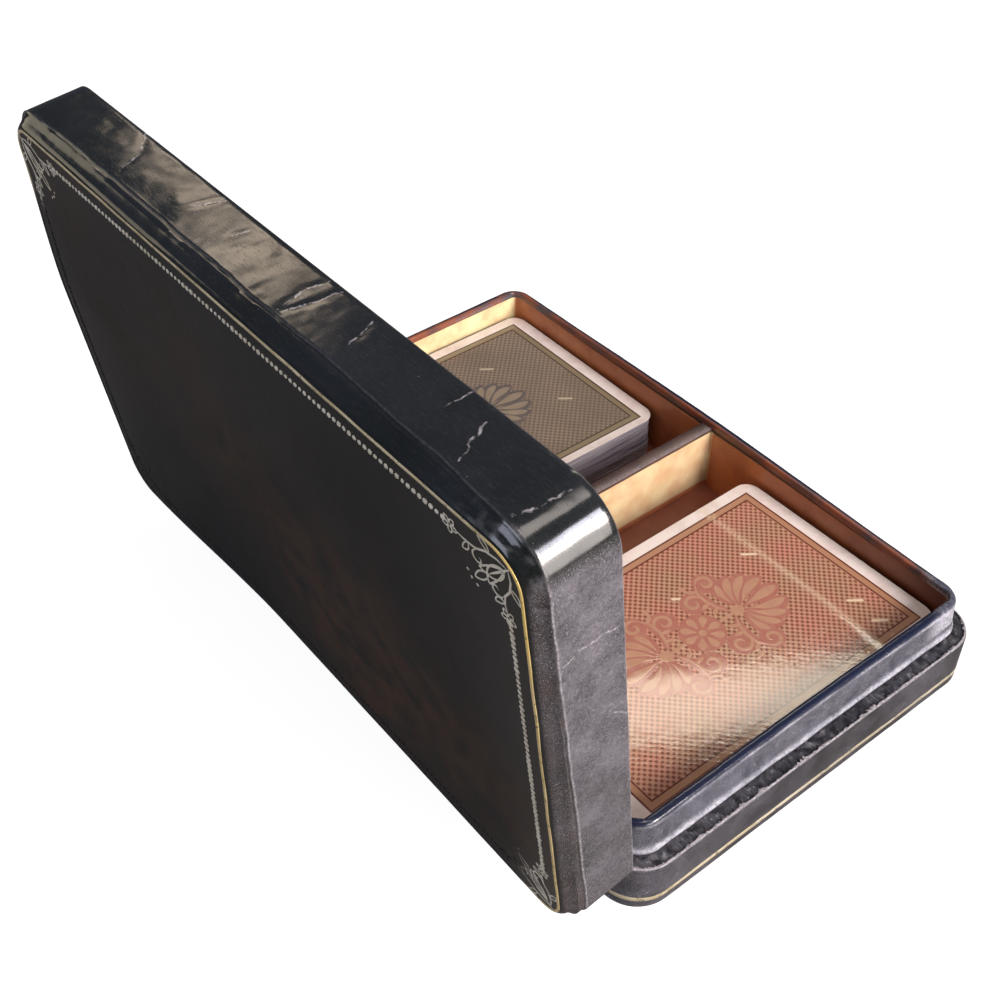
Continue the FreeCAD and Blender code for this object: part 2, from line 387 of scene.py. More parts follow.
# The tray's shade colour is navy for its rim's painted dark reflection, and its pale fibre colour also paints
# highlights
trayLeather = leather("tray_black_calf", dict(
    baseLook, dark="#2b2d35", light="#3d404b", fibre="#b9bac8", shadeColour="#0f1730", tan="#84482f", pores=0.006,
    patch=2.5, scratch=0.7, speckGap=1.5, speckSize=0.12))
capLeather = leather("brown_black_calf", dict(baseLook, dark="#3a2a26", light="#54403a", dryColour="#7d6b66"))


def gilt(name, colours, rubbed, wear, metallic):
    # Gold leaf ironed into the leather with a brass roll: soft metal, rubbed off in places. Where the mesh
    # says fresh the leaf is still yellow, where it says bare only the pressed leather is left
    material, n, shader = startMaterial(name)
    gone = n.ramp(n.speckle(1.6, 5.0, 0.7), 0.62 - wear, 0.70 - wear, (0.0, 0.9))
    leaf = n.mix(n.ramp(n.speckle(6.0, 3.0, 0.6, 4.0), 0.35, 0.65), *colours)
    leaf = n.mix(n.field("fresh"), leaf, "#f5d685")
    bare = n.field("bare")
    plug(shader, {"Base Color": n.mix(bare, n.mix(gone, leaf, rubbed), "#222227"),
                  "Metallic": n.ramp(n.calc("MAXIMUM", gone, bare), 0.0, 0.9, (metallic, 0.1)),
                  "Roughness": n.ramp(n.speckle(0.8, 4.0, 0.6, 9.0), 0.3, 0.7, (0.28, 0.5)),
                  "Normal": n.bump(n.speckle(0.5), 0.02)})
    return material


giltLine = gilt("gold_leaf_line", ("#ddd0ac", "#bdae86"), "#6b5d45", wear=0.05, metallic=0.35)
giltRubbed = gilt("gold_leaf_rubbed", ("#bdb8a8", "#9a937f"), "#6b5f4b", wear=0.07, metallic=0.15)
giltTooling = gilt("gold_leaf_tooling", ("#eae4d4", "#d6ccb4"), "#8a8170", wear=0.02, metallic=0.2)


def paper(name, colours, rough, mottle, fibre=0.01, litWallColours=None, deckShadowTop=0.0, back=0.0):
    # Glazed paper pasted flat over board: soft cloudy stains under a low sheen
    material, n, shader = startMaterial(name)
    tone = n.mix(n.ramp(n.speckle(mottle, 5.0, 0.6), 0.34, 0.66), *colours[:2])
    if litWallColours:
        axes = n.add("ShaderNodeSeparateXYZ", {"Vector": n.grid}).outputs
        away = n.calc("ABSOLUTE", axes["X"])
        stain = n.ramp(n.speckle(5.0, 3.0, 0.5, 12.0), 0.36, 0.66, (1.0, 0.6))
        high = n.ramp(axes["Z"], deckShadowTop, deckShadowTop + 0.8)
        # Painted shade: the back wall darkened towards the right end
        backWallShade = n.times(n.ramp(axes["X"], 20.0, 76.0, (0.0, 0.85)), n.ramp(axes["Y"], back - 0.8, back))
        tone = n.mix(backWallShade, tone, "#42150d")
        # Painted light: the divider and the end walls, which face the light, painted paler, but only higher than a
        # line kept dark as the deck's painted shadow
        for place, code in ((n.ramp(away, 2.6, 2.3), litWallColours[0]), (n.ramp(away, 75.0, 75.3), litWallColours[1])):
            tone = n.mix(n.times(n.times(place, stain), high), tone, code)
    fleck = n.ramp(n.speckle(0.6, 3.0, 0.7, 5.0), 0.66, 0.72, (0.0, 0.35))
    plug(shader, {"Base Color": n.mix(fleck, tone, colours[2]),
                  "Roughness": n.ramp(n.speckle(3.0, 4.0, 0.6, 8.0), 0.35, 0.65, (rough, rough + 0.12)),
                  "Normal": n.bump(n.speckle(1.1, 4.0, 0.6, 2.0), fibre)})
    return material


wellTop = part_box("floor_paper_right")[1]
# The lit divider and end walls are painted paler as painted light, with a painted shadow line low down, and the back
# wall is painted darker to the right as painted shade
wellPaper = paper("glazed_tan_paper", ("#a5603f", "#bd7a50", "#7a4128"), rough=0.34, mottle=9.0,
                  litWallColours=("#d3be96", "#e6dbac"), deckShadowTop=wellTop.z / mm + 1.2, back=wellTop.y / mm - 0.6)
# The wells' floors: the same paper painted darker for the shade that lies in the wells
shadedFloorPaper = paper("well_floor_paper_shaded", ("#75402f", "#8a5340", "#4c2820"), rough=0.36, mottle=9.0)
lidPaper = paper("lid_tan_paper", ("#b58059", "#c99b70", "#84512f"), rough=0.36, mottle=12.0)
pasteboard = paper("grey_pasteboard", ("#3a342f", "#4a423a", "#5a5148"), rough=0.8, mottle=4.0, fibre=0.03)
undersideCloth = paper("black_book_cloth", ("#17171a", "#202024", "#2c2c30"), rough=0.7, mottle=3.0, fibre=0.04)


def cardEdge(name):
    # Edges of pasteboard cards, cut in a press: grey dirt in the seams, their off white painted down to grey for the
    # shade on the decks' sides
    material, n, shader = startMaterial(name)
    streak = n.noise(n.map(n.grid, Scale=(0.05, 0.05, 2.2)), 1.0, 3.0)
    plug(shader, {"Base Color": n.mix(n.ramp(streak, 0.35, 0.65), "#6a6872", "#aaa4ad"), "Roughness": 0.6,
                  "Normal": n.bump(streak, 0.02)})
    return material


shadedCardSides = cardEdge("card_edge_shaded_grey")


def cardBack(name, centre, turn, look):
    # Linen-rolled card printed in two inks and varnished: a lattice of dots inside a double frame
    material, n, shader = startMaterial(name)
    away = Matrix.Rotation(-turn, 2) @ Vector(centre)
    flat = n.map(n.grid, Location=(-away.x, -away.y, 0), Rotation=(0, 0, -turn))
    axes = n.add("ShaderNodeSeparateXYZ", {"Vector": flat}).outputs
    slant = n.add("ShaderNodeSeparateXYZ", {"Vector": n.map(flat, Rotation=(0, 0, math.pi / 4))}).outputs
    waves = [n.calc("COSINE", n.times(slant[axis], 2 * math.pi / look["pitch"])) for axis in "XY"]
    lattice = n.ramp(n.calc("ADD", *waves), -0.25, 0.65)
    # Distance inside the printed panel's edge; the print sits a little off the card's middle
    spans = [n.calc("SUBTRACT", look["panel"][index], n.calc("ABSOLUTE", value))
             for index, value in enumerate((n.calc("SUBTRACT", axes["X"], look["off"]), axes["Y"]))]
    inside = n.calc("MINIMUM", *spans)
    ground = n.mix(n.ramp(n.speckle(14.0), 0.38, 0.62), *look["ground"])
    colour = n.mix(lattice, ground, look["dots"])
    colour = n.mix(n.ramp(inside, 2.1, 2.05), colour, look["band"])
    for near, far in ((1.85, 2.2), (0.0, 0.42)):
        ruled = n.times(n.ramp(inside, near, near + 0.06), n.ramp(inside, far + 0.06, far))
        colour = n.mix(ruled, colour, look["rule"])
    soiled = n.mix(n.ramp(n.speckle(5.0, 5.0, 0.65, 3.0), 0.4, 0.7), *look["border"])
    colour = n.mix(n.ramp(inside, 0.04, -0.04), colour, soiled)
    worn = n.times(n.field("wear"), n.ramp(n.speckle(0.6, 6.0, 0.75, 2.0), 0.34, 0.56), clamp=True)
    linen = n.bump(lattice, 0.002)
    plug(shader, {"Base Color": n.mix(worn, colour, look["bare"]),
                  "Roughness": n.ramp(n.speckle(2.2, 5.0, 0.7, 6.0), 0.35, 0.7, look["rough"]),
                  "Specular IOR Level": look["specular"],
                  "Normal": n.bump(n.speckle(3.0, 4.0, 0.6, 1.0), 0.02, linen)})
    return material


def ink(name, colours, rough):
    # Printer's ink under varnish
    material, n, shader = startMaterial(name)
    plug(shader, {"Base Color": n.mix(n.ramp(n.speckle(3.0, 5.0, 0.7), 0.35, 0.65), *colours),
                  "Roughness": n.ramp(n.speckle(2.2, 5.0, 0.7, 6.0), 0.35, 0.7, rough)})
    return material


def scratchLines(material, creases, place, strength, colourCode, width, shakeBy, whole=0.0):
    # Thin pale lines along the creases, as distances to their runs; whole fills the breaks in them
    n = Nodes(material.node_tree)
    shader = next(node for node in n.tree.nodes if node.bl_idname == "ShaderNodeBsdfPrincipled")
    colour = shader.inputs["Base Color"].links[0].from_socket
    where = n.place()
    shake = n.vector("ADD", n.noise(where, 0.5, 3.0).outputs["Color"], (-0.5, -0.5, -0.5))
    where = n.vector("ADD", where, n.vector("SCALE", shake, Scale=shakeBy))
    nearest = None
    for path in creases:
        path = [(place @ (Vector(point) * mm)) / mm for point in path]
        for a, b in zip(path[:-1], path[1:]):
            run = b - a
            away = n.vector("ADD", where, -a)
            along = n.vector("DOT_PRODUCT", away, run / run.length_squared).outputs["Value"]
            foot = n.vector("SCALE", run, Scale=n.add("ShaderNodeClamp", {"Value": along}))
            gap = n.vector("DISTANCE", away, foot).outputs["Value"]
            nearest = gap if nearest is None else n.calc("MINIMUM", nearest, gap)
    broken = n.ramp(n.noise(where, 1.4, 4.0), 0.36, 0.56, (whole, 1.0))
    mark = n.times(n.ramp(nearest, width, 0.25 * width, (0.0, strength)), broken)
    plug(shader, {"Base Color": n.mix(mark, colour, colourCode)})


print("materials made")

# Lid
lidShape = {"rim": ledgeTop + 0.25, "face": ledgeTop + 15.75, "bevelDown": 2.6, "wall": 2.2, "tuck": 4.0,
            "leather": 0.45, "giltInset": 3.1, "giltWidth": 0.72, "giltRise": 0.16, "wallSteps": 14,
            "wallFoot": 0.42, "faceInset": 6.6, "counts": (180, 106, 12), "endDrop": 1.9, "freeDrop": 1.2,
            "lift": 2.3, "crease": 0.07, "creaseWidth": 0.5}
lidRim, lidFace = lidShape["rim"], lidShape["face"]
shoulderHeight = lidFace - lidShape["bevelDown"]
# Where the hinge leather is let in: half its length, its height, how near the wall and how deep
hingeRecess = {"half": 70.2, "high": 8.2, "near": 0.35, "deep": 0.55}
# Creases on the free long wall (x, height over the hinge) and on the right end wall (across, height)
wallCreases = [
    [(-41.6, 10.6), (-44.3, 4.5), (-49.6, 0.4)], [(-21.7, 6.6), (-18.8, 1.1)], [(-8.9, 5.8), (-8.1, 3.1)],
    [(13.6, 11.0), (12.4, 4.8), (13.6, 1.3)], [(14.6, 11.0), (16.6, 5.1), (17.1, 1.2)],
    [(29.0, 7.4), (27.0, 1.9)], [(50.3, 5.5), (50.7, 1.0)], [(60.5, 10.6), (58.7, 7.5), (57.1, 3.6)],
    [(73.6, 11.9), (74.4, 9.2), (74.6, 6.4), (75.1, 3.2)],
]
endCreases = [[(79.5, 12.4), (80.8, 7.9), (80.8, 4.0), (79.9, 0.7)], [(60.0, 3.0), (58.0, 1.0)]]
lidCreases = [[(x, halfWide, ledgeTop + v) for x, v in path] for path in wallCreases]
lidCreases += [[(halfLong, u - halfWide, ledgeTop + v) for u, v in path] for path in endCreases]
scratchLines(lidLeather, lidCreases, openLid, strength=0.85, colourCode="#a7a2a6", width=0.28, shakeBy=1.6)
lidRing = roundedRing(baseSize.x, baseSize.y, caseCorner, lidShape["counts"])


def crestAt(points):
    # How far the soft edge between the lid's wall and its bevel wanders from the shoulder
    flat = np.column_stack((points[:, 0], points[:, 1], np.zeros(len(points))))
    x, y = np.abs(flat[:, 0]), flat[:, 1]
    ends, free = fade(x, halfLong - 6, halfLong - 1), fade(y, halfWide - 6, halfWide - 1)
    drop = lidShape["endDrop"] * ends * (1 - (y + halfWide) / (2 * halfWide))
    drop = drop + lidShape["freeDrop"] * free * (1 - fade(x, 55, 78))
    return 0.3 * wave(flat, 11.0) + 0.12 * wave(flat, 3.0, 4.0) - drop


def medialLoops(ring, inset, height, steps):
    # From a ring in to the middle line of its rectangle, denser near the ring
    outer = level(ring, inset, height)
    reach = baseSize.x / 2 - baseSize.y / 2
    goal = np.column_stack((np.clip(outer[:, 0], -reach, reach), np.zeros(len(outer)), outer[:, 2]))
    return [outer + (goal - outer) * (step / steps) ** 1.3 for step in range(1, steps + 1)]


lip = 0.5 * np.maximum(wobble(lidRing, 1.7, 0.10) + wobble(lidRing, 0.9, 0.05, 8.0), 0)
crest = crestAt(lidRing)
wall, wallFoot, wallSteps = (lidShape[key] for key in ("wall", "wallFoot", "wallSteps"))
loops = levels(lidRing, (
    (wall, lidShape["tuck"]), (wall, 2.6), (wall, 1.2), (wall, 0.5), (2.1, 0.15), (1.85, 0), (1.1, 0),
    (0.5, lip), (0.2, 0.08), (0.05, 0.22), (0.0, wallFoot)), lidRim)
for step in range(1, wallSteps + 1):
    rise = lidRim + wallFoot + (shoulderHeight - 0.75 - lidRim - wallFoot) * step / wallSteps
    loops.append(level(lidRing, 0.0, rise + crest * (step / wallSteps) ** 3))
for inset, height in ((0.0, -0.5), (-0.01, -0.28), (0.01, -0.1), (0.10, 0.08), (0.24, 0.24), (0.42, 0.40),
                      (0.70, 0.64), (1.05, 0.96), (1.4, 1.34), (1.75, 1.74), (2.05, 2.07), (2.3, 2.29),
                      (2.5, 2.43), (2.75, 2.53), (3.1, 2.59), (3.6, 2.6), (4.4, 2.6), (5.4, 2.6),
                      (lidShape["faceInset"], 2.6)):
    heights = shoulderHeight + height + crest * (1 - fade(height, 0.2, 1.9))
    # Never in past the board under the leather
    limit = 0.42 + 0.96 * np.maximum(heights - shoulderHeight + 0.1, 0)
    loops.append(level(lidRing, np.minimum(inset, limit), heights))
loops += medialLoops(lidRing, lidShape["faceInset"], lidFace, 12)
lidCover = makeMesh("lidCover", *loft(loops))


def lidRelief(points):
    # Long handled leather: soft swells on the walls, a hollow behind the crest, creases pressed in
    height = points[:, 2] - shoulderHeight
    onFace = fade(height, 2.2, 2.5)
    swell = 0.08 * wave(points, 15) + 0.045 * wave(points, 6, 3.0) + 0.012 * wave(points, 2.4, 6.0)
    swell = swell * (1 - onFace) + 0.05 * wave(points, 34, 9.0) * onFace
    swell[points[:, 2] < lidRim + 0.1] = 0
    hollow = -0.10 * bell(height, 1.05, 0.6) + 0.07 * bell(height, 0.05, 0.3)
    return swell + hollow - creaseDepth(points, lidCreases, lidShape["crease"], lidShape["creaseWidth"])


def warpLid(piece):
    # The panel has lifted a little towards the hinge at its left end
    points = meshPoints(piece)
    rise = lidShape["lift"] * fade(-points[:, 0], 15, 75) * (1 - fade(points[:, 1], 8, 50))
    points[:, 2] += rise * np.clip((points[:, 2] - lidRim) / (lidFace - lidRim), 0, 1) ** 3
    movePoints(piece, points)


def sinkHinge(piece, points, heights):
    # The covering sinks where the hinge leather is let in
    recess = ((np.abs(points[:, 0]) < hingeRecess["half"]) & (points[:, 1] < -halfWide + hingeRecess["near"])
              & heights)
    points[recess, 1] = -halfWide + hingeRecess["deep"]
    movePoints(piece, points)


emboss(lidCover, lidRelief)
spots = meshPoints(lidCover)
x, y, rise = spots[:, 0], spots[:, 1], spots[:, 2] - shoulderHeight
# How nearly each point of the outline faces an end
facing = np.degrees(np.arctan2(np.maximum(np.abs(y) - halfWide + caseCorner, 0),
                               np.maximum(np.abs(x) - halfLong + caseCorner, 0.001)))
atEnd = 1 - fade(facing, 2, 24)
over = rise - crestAt(spots)
wear = bell(over, 0.05, 0.12) * (0.15 + 1.0 * atEnd)
wear += (0.5 * blob(np.abs(x), y, 76, 46, 7) * fade(rise, -1.2, 0.6) * (1 - fade(rise, 1.5, 2.4))
         * fade(wave(spots, 1.6, 5.0), 0.0, 0.4))
wear += bell(spots[:, 2] - lidRim, 0.1, 0.16) * (0.3 + 0.5 * atEnd)
setField(lidCover, "wear", np.clip(wear, 0, 1))
# The ends are rubbed dry, the right half of the long walls a little, the face hardly at all
onWall = 1 - fade(over, 0.0, 0.3)
onBevel = fade(over, 0.0, 0.3) * (1 - fade(rise, 1.9, 2.5))
handled = 0.70 + 0.32 * fade(y, -38, 26)
dust = onWall * (atEnd * handled + (1 - atEnd) * (0.01 + 0.05 * fade(x, -10, 30)))
dust += onBevel * (0.34 * atEnd + 0.02)
dust = dust * (0.95 + 0.26 * wave(spots, 12.0, 6.0) + 0.2 * wave(spots, 4.5, 2.0))
setField(lidCover, "dust", np.clip(dust, 0.0, 1))
# Brown: soft patches on the panel, partly dye gone to tan and partly a painted brown reflection, and a scuffed band
# round the ends' bevel
tanAndReflection = sum(strength * blob(x, y, *spot) for strength, *spot in (
    (1.3, 22, -22, 28), (0.5, -22, 6, 20), (0.6, 60, -22, 16), (0.2, -62, 38, 16)))
setField(lidCover, "brown", np.clip(fade(rise, 2.3, 2.6) * tanAndReflection + 0.32 * onBevel * atEnd, 0, 1))
sinkHinge(lidCover, spots, spots[:, 2] < lidRim + hingeRecess["high"])
warpLid(lidCover)
thicken(lidCover, lidShape["leather"])
finishPiece(lidCover, "lid", "lid_leather", lidLeather, "lid_leather", place=openLid)


def rubbedAway(points):
    # The tooling has lost its gold along the left end and over the hinge
    x, y = points[:, 0], points[:, 1]
    left = fade(-x, halfLong - 24, halfLong - 16) * fade(-y, -38, -30)
    return np.maximum(left, fade(-y, halfWide - 24, halfWide - 16) * fade(-x, -74, -66))


# Gilt line on the face's edge, a half-round ridge that wavers with the crest
halfRound = ((-1.0, -0.6), (-0.9, 0.25), (-0.5, 0.85), (0.0, 1.1), (0.5, 0.85), (0.9, 0.25), (1.0, -0.6))
half, giltInset = lidShape["giltWidth"] / 2, lidShape["giltInset"]
waver = wobble(lidRing, 9.0, 0.10, 2.0)
lidGiltLine = makeMesh("lidGiltLine", *loft([
    level(lidRing, giltInset + waver + half * across, lidFace + up * lidShape["giltRise"] - 0.03)
    for across, up in halfRound], closed=True))
spots = meshPoints(lidGiltLine)
yellow = 0.9 * fade(spots[:, 0], 70, 77) * (0.45 + fade(spots[:, 1], 20, 40))
setField(lidGiltLine, "fresh", np.clip(yellow, 0, 1))
setField(lidGiltLine, "bare", rubbedAway(spots))
warpLid(lidGiltLine)
finishPiece(lidGiltLine, "lid", "gilt", giltLine, "lid_gilt_line", place=openLid)
print("lid covered")


# Tooled row of slanted beads on the lid's face, by Geometry Nodes
beadRow = {"Pitch": 1.35 * mm, "Bead Length": 1.3 * mm, "Bead Width": 0.95 * mm, "Bead Height": 0.4 * mm,
           "Slant": math.radians(48), "Wear": 0.16}
# How far in the row runs, and how far from the gilt line's corners it stops
rowInset, rowEdge, rowEndX, rowEndY = 6.4, 2.5, 17.5, 15.0


def openGroup(name, inputs):
    # A geometry group with one input per value; n.given holds their sockets
    tree = bpy.data.node_groups.new(name, "GeometryNodeTree")
    tree.interface.new_socket("Geometry", in_out="INPUT", socket_type="NodeSocketGeometry")
    for label, value in inputs.items():
        kind = "NodeSocketInt" if isinstance(value, int) else "NodeSocketFloat"
        tree.interface.new_socket(label, in_out="INPUT", socket_type=kind).default_value = value
    tree.interface.new_socket("Geometry", in_out="OUTPUT", socket_type="NodeSocketGeometry")
    n = Nodes(tree)
    n.given = n.add("NodeGroupInput").outputs
    return n


def alongEdges(n, gap):
    # Points along the piece's edges, a gap apart
    curve = n.add("GeometryNodeMeshToCurve", {"Mesh": n.given["Geometry"]})
    return n.add("GeometryNodeCurveToPoints", {"Curve": curve, "Length": n.given[gap]}, mode="LENGTH")


def chance(n, low, high, seed, **inputs):
    # A random number or vector for each point
    kind = "FLOAT_VECTOR" if isinstance(low, tuple) else "FLOAT"
    return n.add("FunctionNodeRandomValue", {"Min": low, "Max": high, "Seed": seed, **inputs}, data_type=kind)


def scatter(n, points, thing, **inputs):
    # The thing at each point
    return n.add("GeometryNodeInstanceOnPoints", {"Points": points, "Instance": thing, **inputs})


def runGroup(piece, n, geometry, values, material):
    # Ends the group, sets its inputs by identifier and turns the result into the piece's own mesh
    real = n.add("GeometryNodeRealizeInstances", {"Geometry": geometry})
    n.add("NodeGroupOutput", {"Geometry": n.add("GeometryNodeSetMaterial", {
        "Geometry": real, "Material": material})})
    modifier = piece.modifiers.new("nodes", "NODES")
    modifier.node_group = n.tree
    for item in n.tree.interface.items_tree:
        if item.in_out == "INPUT" and item.name in values:
            modifier[item.identifier] = values[item.name]
    applyModifiers(piece)


n = openGroup("beadRow", beadRow)
rowPoints = alongEdges(n, "Pitch").outputs
along = n.add("FunctionNodeAlignRotationToVector", {"Vector": rowPoints["Tangent"]}, axis="X", pivot_axis="Z")
slant = n.calc("ADD", n.given["Slant"], chance(n, -0.12, 0.12, 3))
slant = n.add("FunctionNodeAxisAngleToRotation", {"Axis": (0, 0, 1), "Angle": slant})
turned = n.add("FunctionNodeRotateRotation", {"Rotation": along, "Rotate By": slant}, rotation_space="LOCAL")
ball = n.add("GeometryNodeMeshUVSphere", {"Segments": 10, "Rings": 5, "Radius": 0.5})
size = n.add("ShaderNodeCombineXYZ", {axis: n.given["Bead " + label] for axis, label in (
    ("X", "Length"), ("Y", "Width"), ("Z", "Height"))})
bead = n.add("GeometryNodeTransform", {"Geometry": ball, "Scale": size})
shrink, grow = n.calc("SUBTRACT", 1.0, n.given["Wear"]), n.calc("ADD", 1.0, n.given["Wear"])
beads = scatter(n, rowPoints["Points"], bead, Rotation=turned, Scale=chance(n, shrink, grow, 11))
x0, y0 = halfLong - rowInset, halfWide - rowInset
endX, endY = halfLong - rowEdge - rowEndX, halfWide - rowEdge - rowEndY
alongX, alongY = np.linspace(-endX, endX, 41), np.linspace(-endY, endY, 25)
rows = [[(x, y0, lidFace) for x in alongX[::-1]], [(-x0, y, lidFace) for y in alongY[::-1]],
        [(x, -y0, lidFace) for x in alongX], [(x0, y, lidFace) for y in alongY]]
rowEdges, start = [], 0
for row in rows:
    rowEdges += [(start + i, start + i + 1) for i in range(len(row) - 1)]
    start += len(row)
lidGiltBeads = addMesh("lidGiltBeads", [point for row in rows for point in row], rowEdges, [])
runGroup(lidGiltBeads, n, beads, beadRow, giltTooling)
setField(lidGiltBeads, "bare", rubbedAway(meshPoints(lidGiltBeads)))
warpLid(lidGiltBeads)
finishPiece(lidGiltBeads, "lid", "gilt", giltTooling, place=openLid)
print("beads set")


# Flat figures: strips between two rails, used for tooled sprays and printed ornament
def sideOf(centre, half, least=0.0):
    # Half widths laid across a centre line
    direction = np.gradient(centre, axis=0)
    direction /= np.maximum(np.linalg.norm(direction, axis=1), least)[:, None]
    return np.column_stack((-direction[:, 1], direction[:, 0])) * half[:, None]


def leafStrip(start, tip, width, bend=0.0, steps=12):
    # A filled leaf along a bent line: centre points and half widths
    start, tip = np.array(start, float), np.array(tip, float)
    side = np.array((start[1] - tip[1], tip[0] - start[0]))
    t = np.linspace(0, 1, steps + 1)
    centre = start + np.outer(t, tip - start) + np.outer(4 * t * (1 - t) * bend, side)
    return centre, width / 2 * np.sin(np.pi * np.clip(t, 0.001, 0.999)) ** 0.8


def strokeStrip(path, width, taper=0.25):
    # A drawn line with tapered ends
    path = np.array(path, float)
    run = np.concatenate(([0], np.cumsum(np.linalg.norm(np.diff(path, axis=0), axis=1))))
    t = run / run[-1]
    return path, width / 2 * np.clip(np.minimum(t, 1 - t) / taper + 0.15, 0.15, 1)


def leafOutline(start, tip, width, line, bend=0.0):
    # A leaf drawn as its outline only
    centre, half = leafStrip(start, tip, width, bend, 14)
    side = sideOf(centre, half)
    return strokeStrip(np.concatenate((centre + side, (centre - side)[::-1])), line, 0.06)


def curlPath(centre, radius, start, turns):
    # A spiral that closes in to a quarter of its radius
    t = np.linspace(0, 1, 23)
    angle = math.radians(start) + 2 * np.pi * turns * t
    size = radius * (1 - 0.75 * t)
    return np.column_stack((centre[0] + size * np.cos(angle), centre[1] + size * np.sin(angle)))


def discStrip(centre, radius, steps=14):
    angle = np.linspace(0.02, np.pi - 0.02, steps + 1)
    path = np.column_stack((np.full(steps + 1, centre[0]), centre[1] - radius * np.cos(angle)))
    return path, radius * np.sin(angle)


def stripSolid(strips, low, high, lift=None, place=None):
    # Thin closed solids from strips; lift gives the height of the surface they lie on
    points, faces = [], []
    for number, (centre, half) in enumerate(strips):
        side = sideOf(centre, half, 1e-9)
        top = high + 0.0015 * (number % 8)
        rails = []
        for flat, height in ((centre + side, top), (centre, top + 0.004), (centre - side, top),
                             (centre - side, low), (centre + side, low)):
            if place is not None:
                flat = place(flat)
            up = height + (lift(flat) if lift is not None else 0)
            rails.append(np.column_stack((flat, np.broadcast_to(up, len(flat)))))
        base, count = len(points), len(centre)
        points += [tuple(p) for rail in rails for p in rail]
        for r in range(5):
            a, b = base + r * count, base + (r + 1) % 5 * count
            faces += [(a + i, a + i + 1, b + i + 1, b + i) for i in range(count - 1)]
        faces += [tuple(base + r * count + end for r in range(5)) for end in (0, count - 1)]
    return points, faces


# Tooled spray for one corner, in millimetres in from the gilt line along each side
spray = [
    leafOutline((3.2, 3.2), (9.2, 7.2), 2.3, 0.34, 0.10), leafOutline((3.2, 3.2), (7.2, 9.2), 2.3, 0.34, -0.10),
    strokeStrip([(1.6, 1.6), (3.2, 3.2), (5.2, 5.2), (7.4, 7.4)], 0.42),
    leafOutline((7.2, 7.2), (10.6, 10.6), 1.5, 0.3),
    strokeStrip([(2.2, 2.4), (4.6, 2.0), (7.2, 2.5), (9.6, 3.8), (12.2, 4.0), (14.6, 3.7)], 0.42),
    strokeStrip([(2.4, 2.2), (2.0, 4.6), (2.5, 7.0), (3.8, 9.0), (4.0, 11.0), (3.7, 12.6)], 0.42),
    strokeStrip(curlPath((9.2, 5.6), 1.5, -80, 0.9), 0.34), strokeStrip(curlPath((5.6, 9.0), 1.5, 170, -0.9), 0.34),
]
spray += [leafOutline(start, tip, 1.1, 0.28, bend) for start, tip, bend in (
    ((6.4, 2.3), (8.6, 0.4), -0.1), ((2.3, 6.2), (0.4, 8.2), 0.1), ((11.4, 4.0), (12.8, 6.2), 0.1),
    ((4.0, 10.6), (6.2, 11.9), -0.1))]
for cx, cy in ((15.4, 3.6), (3.6, 13.6)):
    for petal in range(5):
        turn = math.radians(18 + 72 * petal)
        spray.append(leafOutline(*((cx + reach * math.cos(turn), cy + reach * math.sin(turn))
                                   for reach in (0.3, 1.7)), 0.95, 0.26))
spray += [discStrip(centre, 0.28, 8) for centre in ((11.6, 11.6), (12.3, 10.4), (10.4, 12.3))]
points, faces = [], []
for sx, sy in ((1, 1), (-1, 1), (-1, -1), (1, -1)):
    made = stripSolid(spray, lidFace - 0.06, lidFace + 0.05, place=lambda flat: np.column_stack(
        (sx * (halfLong - giltInset - flat[:, 0]), sy * (halfWide - giltInset - flat[:, 1]))))
    faces += [tuple(index + len(points) for index in face) for face in made[1]]
    points += made[0]
lidGiltSprays = makeMesh("lidGiltSprays", points, faces)
setField(lidGiltSprays, "bare", rubbedAway(meshPoints(lidGiltSprays)))
warpLid(lidGiltSprays)
finishPiece(lidGiltSprays, "lid", "gilt", giltTooling, place=openLid)
print("sprays tooled")

# Base
baseShape = {"low": 0.1, "recess": 0.38, "torn": 0.22, "mostTorn": 1.2, "ledgeMid": 1.95, "giltLow": 2.3,
             "giltWidth": 1.35, "giltRise": 0.15}
baseCounts = (300, 180, 18)
baseRing = roundedRing(baseSize.x, baseSize.y, caseCorner, baseCounts)
tear = 0.5 * wobble(baseRing, 1.1, 1.0, 3.0) + 0.5 * wobble(baseRing, 0.5, 1.0, 6.0)
tear = baseShape["torn"] + 1.3 * fade(wobble(baseRing, 9.0, 1.0), -0.4, 0.6) * np.maximum(tear + 0.2, 0)
tear = np.minimum(tear, baseShape["mostTorn"])
curlUp = 0.09 * np.maximum(wobble(baseRing, 0.8, 1.0, 9.0), -0.3)
loops = levels(baseRing, ((0.9, baseShape["low"]), (0.35, baseShape["low"]), (0.12, 0.22), (0.0, 0.5)))
loops += levels(baseRing, ((0.0, 0.5 + (ledgeTop - 1.2) * step / 12) for step in range(1, 13)))
ledgeLow = ledgeTop - baseShape["recess"]
loops += levels(baseRing, (
    (0.02, ledgeTop - 0.45), (0.10, ledgeTop - 0.22), (0.22, ledgeTop - 0.06 + 0.5 * curlUp),
    (0.24 + tear * 0.6, ledgeTop + curlUp), (0.30 + tear, ledgeTop + curlUp), (0.36 + tear, ledgeTop - 0.12),
    (0.42 + tear, ledgeTop - 0.42), (0.55 + tear, ledgeLow)))
ledgeMid = level(baseRing, baseShape["ledgeMid"], ledgeLow)
ledgeIn = level(roundedRing(traySize.x, traySize.y, trayCorner, baseCounts), -0.1, ledgeLow)


def tornLumps(points):
    # The ledge's torn fibre, in plan
    return wave(points * (1, 1, 0), 2.0, 3.0) + 0.8 * wave(points * (1, 1, 0), 1.1, 8.0)


